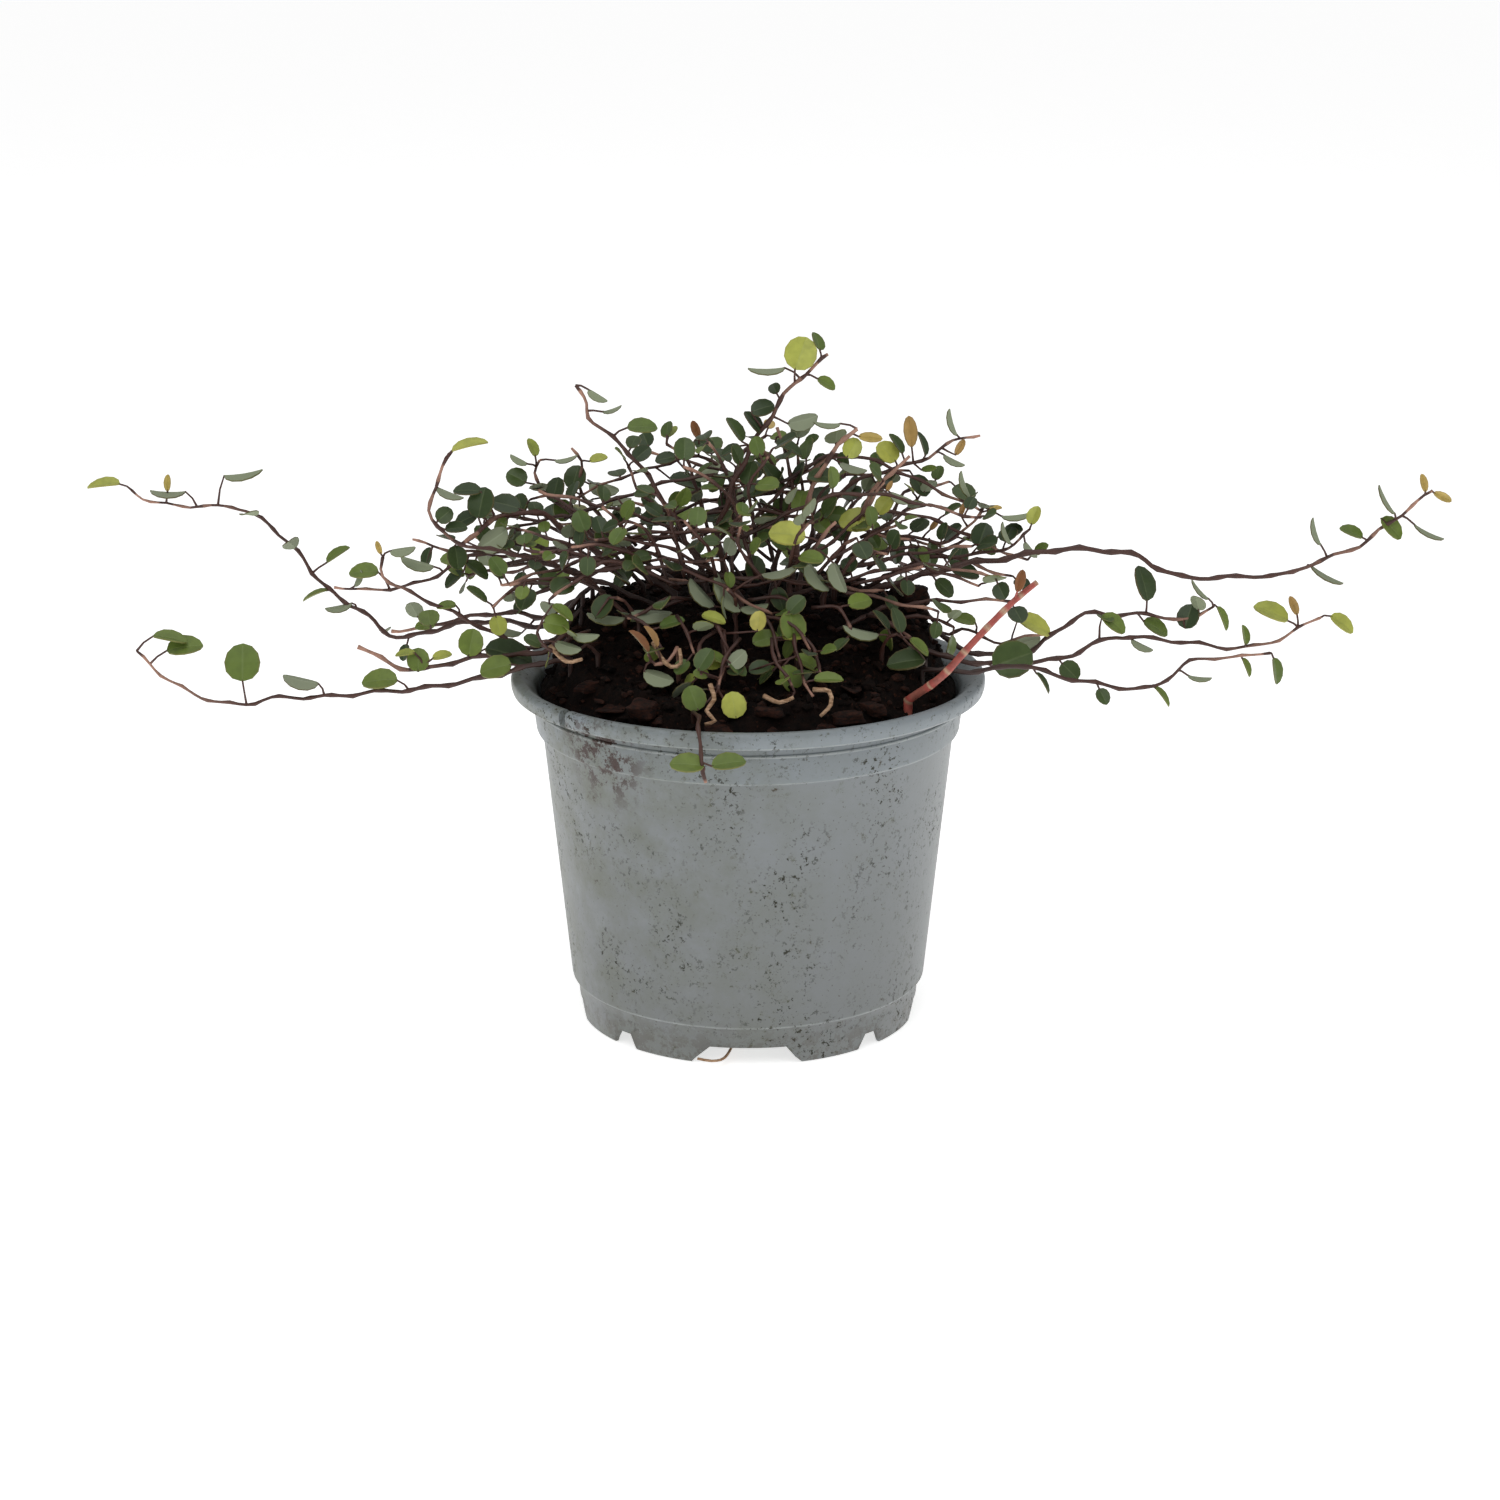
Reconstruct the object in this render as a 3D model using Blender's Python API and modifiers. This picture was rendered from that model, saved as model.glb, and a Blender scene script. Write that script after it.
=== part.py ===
"""Creeping wire vine growing in a 12 cm nursery pot.

Run it with Blender 4.5: blender --background --python part.py
The pot, the peat, every rooted shoot with its leaves, the bark chips and the dry leaves are
separate objects. Lengths below are millimetres, and the scene is in metres, +Z up, with the
origin on the pot's axis at the level of its feet.
"""

import math

import bmesh
import bpy
import numpy as np
from mathutils import Matrix, Vector
from mathutils.bvhtree import BVHTree

MM = 0.001

# ---------------------------------------------------------------- driving sizes, millimetres
RIM_RADIUS = 60.0
POT_HEIGHT = 90.0
WALL = 1.1
POT_SIDES = 48
FOOT_GAP_TOP = 4.6  # how high the wide gaps between the feet reach
NOTCH_TOP = 3.8  # how high the narrow notches reach
PLATE_BOTTOM, PLATE_TOP = 4.8, 6.0  # the drainage plate
DRAIN_HOLES, DRAIN_RING, DRAIN_RADIUS = 8, 30.0, 4.0
SPLIT_ANGLE, SPLIT_WIDTH = -138.5, 2.4  # the split in the rim, degrees from +X and width

SOIL_GAP = 0.35
SOIL_EDGE_HEIGHT = 86.0
SOIL_SIDES = 40

LEAF_THICKNESS = 0.55
LEAF_ASPECT = 0.76  # a full blade's width over its length
PETIOLE_WIDTH = 0.62
STEM_SLIM = 0.75  # a stem's radius over the one in its drawing
STEM_GAP = 0.7  # clear air kept between two stems
LEAF_GAP = 0.2  # clear air kept between a leaf and its neighbours

# Routes are drawn on the upright plane through the pot's axis, as (across, up, behind). A point
# behind the drawing plane is carried away from SIGHT along its own sight line.
SIGHT = Vector((0.0, -750.0, 290.0))
SIGHT_PITCH = 0.287
VIEW_RIGHT = Vector((1.0, 0.0, 0.0))
VIEW_UP = Vector((0.0, math.sin(SIGHT_PITCH), math.cos(SIGHT_PITCH)))
VIEW_AWAY = Vector((0.0, math.cos(SIGHT_PITCH), -math.sin(SIGHT_PITCH)))

# Each shoot: where it is rooted (x, y), its route, its radius at the root and at the tip, and its
# leaves as (across, up, heading in degrees, length, seen width).
SHOOTS = {
    "far_left_runner": {
        "root": (-42, 8),
        "route": [(-50, 101.5, 13), (-62, 102.5, 16), (-72, 102, 18), (-80, 100, 20), (-87, 98.3, 22),
                  (-92, 100, 23), (-97, 105, 24), (-103, 108.6, 25), (-108, 113.5, 26),
                  (-113, 120.5, 27), (-120, 127.5, 28), (-127, 131.6, 29), (-134, 132, 30),
                  (-141, 132.2, 30), (-149, 133.2, 30), (-153.5, 136.2, 30)],
        "radius": (1.1, 0.45),
        "leaves": [(-160.5, 137.8, 178, 8.5, 2.8), (-144.5, 138, 90, 4.5, 4.5), (-144.5, 135.2, 187, 9, 1.8),
                   (-125.5, 139.8, 0, 10, 2.2), (-109, 109.6, 195, 7, 1.4), (-103, 120, 42, 7, 2.6),
                   (-103, 106, 200, 7, 2.2)],
    },
    "left_twin_runner": {
        "root": (-40, 17),
        "route": [(-50, 104, 22), (-58, 104.6, 26), (-66, 104.3, 29), (-74, 102.8, 31), (-82, 100.8, 32), (-90, 100, 33)],
        "radius": (1.1, 0.6),
        "leaves": [(-81.5, 101.5, 180, 5.5, 3), (-61, 100, 172, 8, 2), (-57, 107, 60, 6, 3)],
    },
    "left_forked_branch": {
        "root": (-42, -2),
        "route": [(-50, 96.8, -3), (-57, 96, -3), (-64, 99.3, -3), (-71, 103, -3), (-78, 106.5, -3),
                  (-85, 110, -4), (-90, 112.5, -4), (-92, 116, -4), (-91.8, 119, -4)],
        "radius": (1.0, 0.55),
        "leaves": [(-86.5, 120.6, 0, 6.5, 2.6), (-76, 106.6, 178, 5, 2.4), (-92.5, 121.5, 110, 3.6, 1.6)],
    },
    "left_link_branch": {
        "root": (-24, 2),
        "route": [(-33, 111, 2), (-43, 114.5, 4), (-53, 118, 5), (-62, 120.3, 5), (-70, 119.4, 4),
                  (-75, 116.5, 3), (-80, 113.4, 2), (-86, 111.6, 2), (-92, 110.8, 2), (-98, 110.6, 2), (-104, 111.6, 2)],
        "radius": (0.95, 0.45),
        "leaves": [(-96.5, 115.4, 176, 7.5, 4.2), (-83, 117.2, 172, 8.5, 2.6), (-97.8, 113.5, 60, 4.5, 1.8),
                   (-74, 113.5, 215, 6, 3), (-68, 116, 330, 7, 3)],
    },
    "low_left_runner": {
        "root": (-44, -16),
        "route": [(-51, 92, -17), (-58, 90, -16), (-66, 88, -13), (-76, 86, -11), (-86, 84.6, -9), (-95, 84, -8),
                  (-104, 83, -7), (-113, 82.6, -6), (-121, 82.4, -5), (-127.5, 80.8, -4), (-134, 81.2, -3),
                  (-140.5, 83.4, -2), (-147, 87.2, -1), (-151.5, 91.3, 0), (-154.8, 94.6, 0)],
        "radius": (1.0, 0.45),
        "leaves": [(-128, 91.8, 90, 9.5, 9.2), (-146, 98.4, 357, 8.5, 2.8), (-142.5, 96, 14, 9, 4.8),
                   (-113.5, 86.6, 175, 9, 3), (-93.5, 87.2, 178, 9, 5), (-64, 90.4, 190, 8, 5.5)],
    },
    "pink_tip_left": {
        "root": (-45, -8),
        "route": [(-52, 94.4, -10), (-60, 93.8, -8), (-68, 93.2, -7), (-75, 91.8, -6), (-82, 90, -6), (-88, 90.4, -5),
                  (-93, 92.8, -5), (-98.5, 96.2, -5)],
        "radius": (1.0, 0.7),
        "leaves": [(-83.5, 92.5, 90, 6, 6), (-70, 97, 80, 7, 6.6), (-60.5, 94.2, 350, 12, 6),
                   (-77.5, 93.6, 20, 5, 2.5), (-86.8, 94.2, 180, 5, 1.8)],
    },
    "left_arch": {
        "root": (-19, 9),
        "route": [(-26, 114.8, 9), (-33, 117.8, 9), (-40, 121.5, 8), (-46, 126, 7), (-51, 129.8, 6), (-57, 130.6, 4),
                  (-63, 128.8, 2), (-68, 125.5, 0), (-72, 121.8, -2)],
        "radius": (1.5, 0.8),
        "leaves": [(-70, 136.2, 172, 7, 3.6), (-66.5, 133, 80, 8, 6.5), (-60.5, 132.6, 160, 7.5, 5),
                   (-70.5, 128.8, 200, 6, 4), (-63.5, 123.5, 30, 8, 5.5), (-73, 119, 280, 6, 4.4)],
    },
    "tall_left_shoot": {
        "root": (-31, -2),
        "route": [(-39, 112, -3), (-49, 117.5, -5), (-59, 120, -6), (-68, 121.5, -7), (-74, 123.5, -8),
                  (-77.8, 126.8, -8), (-79.3, 131, -8), (-78, 137, -8), (-75.8, 142, -8), (-73.4, 146, -8)],
        "radius": (0.9, 0.55),
        "leaves": [(-69.2, 147.7, 22, 9, 2.8), (-74.4, 135, 330, 7, 2), (-75.8, 129.8, 40, 4.6, 4), (-73, 126.6, 10, 5.5, 3)],
    },
    "left_level_branch": {
        "root": (-33, 14),
        "route": [(-42, 114.5, 15), (-52, 118.6, 15), (-62, 119.5, 14), (-71, 120.5, 13), (-79, 121.8, 12), (-84, 123.6, 11)],
        "radius": (0.9, 0.45),
        "leaves": [(-80.5, 119.2, 85, 5, 3), (-58, 124, 100, 7, 3), (-66, 124.6, 120, 6.5, 4), (-51, 113.8, 315, 9, 3)],
    },
    "left_rising_shoot": {
        "root": (-27, 18),
        "route": [(-33, 119, 18), (-39, 125, 19), (-44, 130, 20), (-48, 133.5, 21), (-52, 137, 21), (-53.2, 140.5, 21), (-51.5, 143.5, 21)],
        "radius": (1.0, 0.5),
        "leaves": [(-57.6, 139.4, 150, 5.6, 4.6), (-53.4, 147, 105, 5, 2.6), (-45.2, 143.9, 4, 6, 1.6),
                   (-57, 143.6, 160, 5, 1.8), (-48, 136.3, 80, 6.6, 5)],
    },
    "left_top_twig": {
        "root": (-20, 24),
        "route": [(-28, 120, 27), (-35, 127, 29), (-40, 133, 30), (-42, 138.5, 30), (-41.5, 143.5, 30), (-43.5, 147, 30)],
        "radius": (0.85, 0.5),
        "leaves": [(-37.2, 144.2, 20, 4.8, 2.6), (-43, 139.4, 75, 6.5, 5.6), (-33, 133.5, 350, 8, 2.6), (-36, 136.4, 340, 8, 4)],
    },
    "long_diagonal_shoot": {
        "root": (-9, -2),
        "route": [(-11, 114, -2), (-14.5, 121.5, -2), (-19, 130, -2), (-24, 138.2, -2), (-29.5, 145.5, -2),
                  (-35, 150.5, -2), (-39.3, 154.5, -2), (-40, 157.8, -2), (-42.6, 162.4, -2)],
        "radius": (1.1, 0.55),
        "leaves": [(-26.2, 152.2, 5, 7.4, 4.2), (-33.6, 156.3, 10, 5, 1.4), (-37.3, 159.6, 320, 5.5, 2)],
    },
    "top_cross_link": {
        "root": (-4, 20),
        "route": [(-4, 120, 24), (-3.5, 131, 26), (-4.5, 140, 27), (-9, 143.6, 28), (-16, 144.4, 28), (-23, 141.8, 28),
                  (-30, 140, 28), (-37, 137, 28), (-44, 134, 27)],
        "radius": (0.9, 0.45),
        "leaves": [(-10.8, 147.6, 335, 5.6, 4), (-13, 151.4, 110, 5, 2.6), (-10, 140.8, 25, 8, 4), (-15.4, 138.4, 350, 8.6, 4)],
    },
    "inner_left_shoot": {
        "root": (-14, 14),
        "route": [(-17, 120, 14), (-20, 127, 14), (-19, 132.5, 14), (-13, 135.8, 15), (-7, 137.4, 15), (-2, 137.6, 15)],
        "radius": (0.9, 0.45),
        "leaves": [(-23, 129, 10, 8, 4.4), (-24.5, 135, 80, 6.5, 3.6), (-9, 129.4, 175, 6, 3.4), (-5, 134, 70, 7, 4)],
    },
    "top_shoot": {
        "root": (-2, 3),
        "route": [(-5, 114, 3), (-7.4, 121, 3), (-7, 128, 2), (-4.6, 134.4, 1), (-2.6, 140, 0), (0.8, 147, 0), (4.6, 153, 0),
                  (8, 158.5, 0), (11.5, 163, 0), (15.5, 166.5, 0), (19.8, 170, 0)],
        "radius": (1.3, 0.6),
        "leaves": [(13, 170.4, 70, 8.5, 8), (19.4, 163, 335, 5, 2.8), (4.6, 166, 190, 9, 1.8), (3.6, 156.8, 20, 6, 4.6),
                   (-3, 151.6, 115, 7, 2.8), (1.4, 153.4, 118, 6.6, 3), (13.6, 153.4, 8, 7.6, 4.4), (0.4, 140.4, 80, 6, 4.4),
                   (-4.4, 146.4, 200, 5, 2.4)],
    },
    "centre_dark_shoot": {
        "root": (6, 9),
        "route": [(7.5, 120, 9), (9.6, 128, 9), (11, 136, 8), (10.4, 142, 8), (8.4, 147.4, 8), (7.4, 152, 8)],
        "radius": (1.1, 0.5),
        "leaves": [(6.2, 139.8, 115, 8, 4), (10.2, 147, 340, 7.5, 3), (12.6, 140.4, 80, 6, 2.6), (2.4, 136.4, 30, 8, 4),
                   (5, 127.6, 60, 7, 5)],
    },
    "pale_pink_shoot": {
        "root": (10, 1),
        "route": [(11.5, 117, 0), (13, 125, -1), (15, 133, -2), (18, 141, -2), (21.4, 146, -2), (26.8, 151.8, -2)],
        "radius": (1.2, 0.75),
        "leaves": [(25.9, 146.8, 60, 5.4, 4.8), (30.4, 149.4, 355, 6, 2.6), (19.6, 152.6, 185, 6.6, 1.8),
                   (26, 141.6, 335, 7, 2.4), (19, 139.6, 5, 8.6, 4.2)],
    },
    "upper_right_branch": {
        "root": (13, 14),
        "route": [(15, 122, 14), (18, 130, 14), (23, 135.6, 14), (30, 139.8, 14), (37, 141.8, 14), (43, 143.6, 14),
                  (48, 146.8, 14), (52.5, 149, 14), (57.5, 150.2, 14)],
        "radius": (1.1, 0.45),
        "leaves": [(40.2, 151, 95, 8, 5.6), (34.6, 145.8, 130, 6.4, 5), (37, 148, 115, 6, 2.4), (43.4, 148, 100, 6.4, 2),
                   (52.6, 147, 60, 4.6, 3.2), (50.4, 153, 115, 7, 1.8), (45, 141.6, 10, 4, 2), (51, 143.4, 325, 6, 2)],
    },
    "right_pink_shoot": {
        "root": (19, 6),
        "route": [(22, 117.6, 4), (25, 124, 2), (28, 130, 0), (31.4, 136, -1), (35.4, 140.6, -1), (40.4, 144.4, -1)],
        "radius": (1.0, 0.6),
        "leaves": [(27.2, 128.4, 175, 9, 6), (34, 132.6, 60, 6, 4), (38, 134, 330, 6, 2.4), (35.2, 137.2, 60, 3, 3)],
    },
    "bright_leaf_shoot": {
        "root": (4, -8),
        "route": [(6, 110, -10), (10, 115.6, -12), (15, 120, -14), (19, 124.4, -14), (22, 128, -14)],
        "radius": (0.8, 0.6),
        "leaves": [(9.8, 125, 170, 9, 6.2), (17, 113.6, 300, 8.6, 3.6), (22.4, 113.6, 285, 8, 3.6)],
    },
    "far_right_runner": {
        "root": (27, 4),
        "route": [(33, 111, 3), (40, 113.4, 2), (47, 115.4, 1), (54, 117.3, 0), (61, 118.2, -1), (68, 119.4, -2), (75, 120.7, -3),
                  (83, 121.1, -4), (91, 120.6, -5), (98, 119.2, -6), (103, 116.2, -7), (109, 114, -8), (118, 113.8, -9),
                  (127, 114.2, -10), (135, 114.6, -10), (140, 116.8, -11), (147, 119.4, -11), (153, 122, -12),
                  (158, 125.8, -12), (163, 130, -12), (167, 133.2, -12), (170.4, 135.8, -12)],
        "radius": (1.3, 0.55),
        "leaves": [(141.8, 125.4, 115, 7, 2), (145, 114, 322, 9, 1.4), (151, 125.6, 150, 6, 3), (161, 126.6, 320, 7, 4.4),
                   (158.8, 133.4, 128, 8, 1.6), (170, 125, 325, 8, 1.4), (168.2, 138, 100, 4.6, 2.2), (173.2, 134.4, 335, 5, 2.2)],
    },
    "right_level_branch": {
        "root": (22, 13),
        "route": [(26, 120, 12), (33, 124.4, 11), (40, 124.6, 10), (45, 123, 9), (48.6, 122.6, 9), (53, 125.4, 9), (56.8, 128, 9),
                  (58.6, 132, 9)],
        "radius": (0.95, 0.5),
        "leaves": [(53.8, 137.4, 118, 7, 1.8), (67, 129.4, 358, 7.6, 1.8), (53.6, 131.4, 75, 3.6, 1.4), (61.5, 131.4, 15, 4, 1.4),
                   (46.6, 127.4, 50, 3.6, 2.4), (37, 121.4, 285, 8, 4.2), (46, 119.6, 275, 7, 3.4)],
    },
    "right_middle_branch": {
        "root": (30, 12),
        "route": [(36, 114.6, 10), (42, 118, 8), (49, 119.2, 6), (56, 119.6, 5), (62, 120.6, 4), (66.6, 122.4, 3), (70.6, 126, 3)],
        "radius": (0.95, 0.5),
        "leaves": [(58.6, 124.8, 70, 6.4, 5.6), (71.4, 129.8, 75, 5, 3), (64.4, 125, 120, 6, 1.6), (70.6, 120.8, 300, 5, 2),
                   (54.6, 115.4, 350, 7.4, 4), (49.4, 111.2, 320, 6, 4)],
    },
    "right_fan_upper": {
        "root": (46, -3),
        "route": [(53, 95.8, -5), (60, 94, -6), (66, 93.6, -6), (72, 95, -6), (78, 100, -6), (85, 104.4, -6), (92, 104.2, -6),
                  (98, 104.4, -6), (105, 103.6, -6), (112, 103, -6), (117, 106.6, -6)],
        "radius": (1.05, 0.5),
        "leaves": [(99.6, 112.4, 98, 9, 5.4), (103, 101, 335, 7, 4), (111, 103.8, 75, 6.4, 5), (119.8, 103.4, 300, 6.4, 2.4),
                   (113.4, 110.4, 140, 6.4, 1.4), (72.4, 101.6, 340, 9, 4.4)],
    },
    "right_fan_middle": {
        "root": (44, -13),
        "route": [(52, 92.6, -15), (60, 91.6, -15), (68, 91.6, -13), (76, 92.2, -12), (82, 93.8, -12), (87, 96.4, -11), (93, 98.4, -11),
                  (100, 98.2, -10), (107, 97.4, -10), (114, 96.6, -10), (121, 95.6, -10), (128, 96, -10), (134, 97.8, -10),
                  (139, 100.6, -10), (144, 103.6, -10)],
        "radius": (1.0, 0.45),
        "leaves": [(92.4, 102, 330, 7, 4), (125.6, 99, 90, 5, 2.2), (132, 105, 150, 9, 4.4), (150, 102, 330, 7, 4), (137.4, 106.6, 110, 5, 3),
                   (99.4, 96, 325, 6, 2), (67, 92.6, 20, 10.4, 9)],
    },
    "right_fan_lower": {
        "root": (43, -20),
        "route": [(54, 89.4, -23), (62, 90, -22), (70, 91, -20), (77, 88.6, -18), (84, 87, -17), (92, 85.6, -17), (98, 84.8, -16),
                  (103, 85.4, -16), (107.6, 88.6, -16), (112, 92, -16), (118, 93, -16), (125, 93.2, -16), (132, 94.6, -16)],
        "radius": (1.0, 0.45),
        "leaves": [(105.4, 83, 315, 6, 1.8), (114.4, 87.6, 345, 6, 1.4), (126.4, 90.6, 300, 5, 2), (134, 89.6, 285, 6.6, 3),
                   (75, 86.6, 310, 6, 1.4)],
    },
    "right_loop_twig": {
        "root": (44, 11),
        "route": [(49, 99.6, 11), (54, 100.6, 11), (59, 98.4, 10), (64, 97, 8), (70, 98.4, 7), (75, 99.2, 6)],
        "radius": (0.8, 0.4),
        "leaves": [(69.6, 96.4, 10, 9, 4.6), (54.6, 103, 160, 6, 3)],
    },
    "red_jointed_shoot": {
        "root": (39, -31),
        "route": [(49, 88, -35), (56, 96, -35), (61.6, 102.2, -33), (67, 107.8, -31), (72.6, 112.6, -29)],
        "radius": (1.7, 1.1),
        "leaves": [(68.4, 113, 75, 5.6, 2.8)],
    },
    "rim_trailer": {
        "root": (-13, -47),
        "route": [(-12.6, 77.4, -53), (-12.6, 75.6, -58), (-12.5, 72.4, -62.5), (-12.3, 67.6, -64), (-10.6, 60, -64.5)],
        "radius": (0.8, 0.6),
        "leaves": [(-15.6, 65, 170, 8, 4.4), (-5, 65.4, 14, 8, 4)],
    },
    "front_centre_shoot": {
        "root": (-6, -24),
        "route": [(-6, 100, -25), (-5.6, 94.6, -29), (-6.4, 89, -35), (-7.6, 84.4, -40)],
        "radius": (0.8, 0.5),
        "leaves": [(-8.6, 103.4, 350, 6, 2.6), (2.6, 102.6, 85, 5, 4), (-11, 92.6, 60, 6, 4.6), (-2.6, 92.6, 40, 5.4, 4),
                   (-3.6, 80.6, 100, 6.4, 6), (-13.8, 82.4, 110, 6.2, 5.4)],
    },
    "front_right_shoot": {
        "root": (12, -23),
        "route": [(11.6, 99, -24), (12.6, 93.4, -30), (14, 88, -36), (16.4, 82.8, -41)],
        "radius": (0.8, 0.45),
        "leaves": [(11.2, 101.4, 100, 7.6, 6), (4.4, 98, 20, 6.6, 4.4), (15, 91.8, 335, 6.6, 3), (10.8, 87.4, 300, 7.4, 5),
                   (20.4, 87.6, 8, 7, 2.6), (3, 90.4, 20, 5.6, 3.6)],
    },
    "front_left_shoot": {
        "root": (-37, -20),
        "route": [(-41, 96.4, -22), (-46, 93.4, -25), (-50.6, 95.6, -28), (-53.2, 99.6, -29)],
        "radius": (0.8, 0.45),
        "leaves": [(-48.4, 101.6, 350, 6.4, 5), (-46.6, 105, 330, 6, 2.4), (-45.6, 95.6, 335, 6.6, 2.8), (-41, 98.4, 350, 6.6, 2.2)],
    },
    "front_left_leafy": {
        "root": (-27, -12),
        "route": [(-28, 103.6, -13), (-31, 107.6, -15), (-35, 108.4, -17)],
        "radius": (0.8, 0.5),
        "leaves": [(-35.8, 103.2, 182, 9.4, 2.4), (-24.4, 104, 350, 10, 3.4), (-36.6, 106.4, 60, 6.6, 5)],
    },
    "front_dry_fork": {
        "root": (-17, -27),
        "route": [(-18, 95.6, -29), (-20, 92, -31), (-23.6, 91, -32), (-25, 94, -32)],
        "radius": (0.8, 0.6),
        "leaves": [(-27.4, 97.4, 125, 7, 1.6), (-24.4, 98.6, 115, 6, 1.4), (-22.8, 87.6, 335, 7.6, 4)],
    },
    "front_grey_leaves": {
        "root": (-3, -13),
        "route": [(-3, 105.4, -14), (-3.6, 108.6, -16), (-5.4, 110.8, -17)],
        "radius": (0.9, 0.6),
        "leaves": [(-12, 109.4, 140, 9, 3), (-5.6, 109.4, 130, 11, 3.6), (1.6, 105.8, 0, 7, 2.4), (8, 115, 5, 9, 2.2)],
    },
    "right_soil_shoot": {
        "root": (33, -18),
        "route": [(34.6, 97, -20), (37.6, 99, -22), (40.6, 97, -23)],
        "radius": (0.8, 0.5),
        "leaves": [(28.4, 99.4, 175, 9, 2.6), (37.8, 102.8, 100, 6.4, 3.4), (33.8, 103, 120, 6, 2), (40, 92.2, 182, 9.4, 5), (43.4, 96, 325, 6, 2.4)],
    },
    "back_left_trailer": {
        "root": (-26, 32),
        "route": [(-34, 117, 40), (-43, 119, 47), (-53, 117, 53), (-62, 115, 58), (-70, 116.6, 62)],
        "radius": (1.0, 0.5),
        "leaves": [(-40, 124, 100, 7, 4), (-52, 121.6, 80, 7, 5), (-57, 112, 260, 7, 4), (-66, 120, 110, 7, 4), (-74, 118.6, 170, 7, 4)],
    },
    "back_right_trailer": {
        "root": (24, 33),
        "route": [(30, 117.4, 40), (36, 118.4, 47), (42, 116, 54), (47, 114.6, 60), (52, 116.4, 65)],
        "radius": (1.0, 0.5),
        "leaves": [(33, 121.4, 80, 7, 4.4), (42, 119.4, 100, 7, 4), (39, 111, 280, 7, 4), (53, 119, 80, 7, 5)],
    },
    "back_centre_shoot": {
        "root": (2, 32),
        "route": [(1, 120, 37), (-1.6, 127, 44), (-6, 132, 51), (-10, 133.8, 58), (-13, 133, 64)],
        "radius": (1.0, 0.5),
        "leaves": [(4, 124.6, 60, 7, 5), (-6.4, 126, 200, 7, 4), (-3.6, 134, 80, 7, 5), (-13.6, 136, 110, 7, 4), (-16.4, 129.6, 210, 7, 4)],
    },
    "back_low_shoot": {
        "root": (12, 40),
        "route": [(12, 118.6, 45), (13, 117.4, 52), (15, 114.6, 58), (18, 113.4, 64)],
        "radius": (0.9, 0.5),
        "leaves": [(10, 122, 100, 7, 4.4), (17.4, 119.6, 60, 7, 5), (18.6, 109.6, 300, 7, 4), (22.4, 115, 20, 7, 4)],
    },
}

# Bark chips on the peat: (x, y, length, width, height, turn in degrees).
CHIPS = [
    (42, 14, 9, 7.5, 5, 20), (-25, -41, 9, 7, 4, 75), (24, -43, 8, 4.4, 3, 15),
    (30, -38, 7, 4.2, 3, 130), (-38.5, -27, 8, 3.6, 2.6, 40), (5, -47, 7, 3.4, 2.4, 160), (-20, 38, 8, 5, 3.4, 60),
]
# Fallen dry leaves lying on the peat: (x, y, length, width, turn in degrees).
DRY_LEAVES = [(-33.5, -35.5, 8, 4, 150), (19.5, -48, 7, 3.6, 20), (25, -32, 7, 3.6, 100), (-7, -49.5, 7, 3, 10)]


# ---------------------------------------------------------------- scene and materials
def clear_scene():
    for obj in list(bpy.data.objects):
        bpy.data.objects.remove(obj, do_unlink=True)


def make_collection(name):
    collection = bpy.data.collections.new(name)
    bpy.context.scene.collection.children.link(collection)
    return collection


def make_material(name, colour, roughness):
    material = bpy.data.materials.new(name)
    material.use_nodes = True
    shader = material.node_tree.nodes["Principled BSDF"]
    shader.inputs["Base Color"].default_value = (*colour, 1.0)
    shader.inputs["Roughness"].default_value = roughness
    shader.inputs["Metallic"].default_value = 0.0
    return material


def object_from_bmesh(bm, name, collection, material=None):
    """A named mesh object from a bmesh in millimetres."""
    bmesh.ops.scale(bm, vec=(MM, MM, MM), verts=bm.verts)
    mesh = bpy.data.meshes.new(name)
    bm.to_mesh(mesh)
    bm.free()
    obj = bpy.data.objects.new(name, mesh)
    collection.objects.link(obj)
    if material:
        mesh.materials.append(material)
    return obj


def hide_helper(obj):
    obj.hide_render = True
    obj.display_type = "WIRE"


def add_boolean(obj, operation, helper):
    modifier = obj.modifiers.new(operation.lower(), "BOOLEAN")
    modifier.operation = operation
    if isinstance(helper, bpy.types.Collection):
        modifier.operand_type = "COLLECTION"
        modifier.collection = helper
    else:
        modifier.object = helper
    return modifier


# ---------------------------------------------------------------- the pot
def pot_profile():
    """The wall's closed outline as (radius, height), down the outside and up the inside."""
    outside = [
        (58.2, POT_HEIGHT), (59.2, POT_HEIGHT), (59.8, 89.5), (RIM_RADIUS, 88.4), (59.6, 86.0),
        (58.8, 85.9), (56.4, 86.0), (54.6, 85.6), (54.4, 83.3), (54.9, 82.8), (54.5, 82.3), (53.6, 76.2), (53.1, 75.6), (52.1, 75.0),
        (46.0, 14.0), (45.7, 10.6), (44.8, 10.0), (44.0, 7.2), (43.5, 0.0),
    ]
    inside = [
        (42.3, 0.0), (42.6, PLATE_BOTTOM), (0.0, PLATE_BOTTOM), (0.0, PLATE_TOP), (42.4, PLATE_TOP), (43.4, 8.4),
        (44.2, 10.6), (45.0, 14.2), (51.0, 75.0), (52.4, 76.6), (53.4, 83.0), (53.6, 86.0), (56.2, 88.8), (57.4, 89.8),
    ]
    return outside + inside


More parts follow.
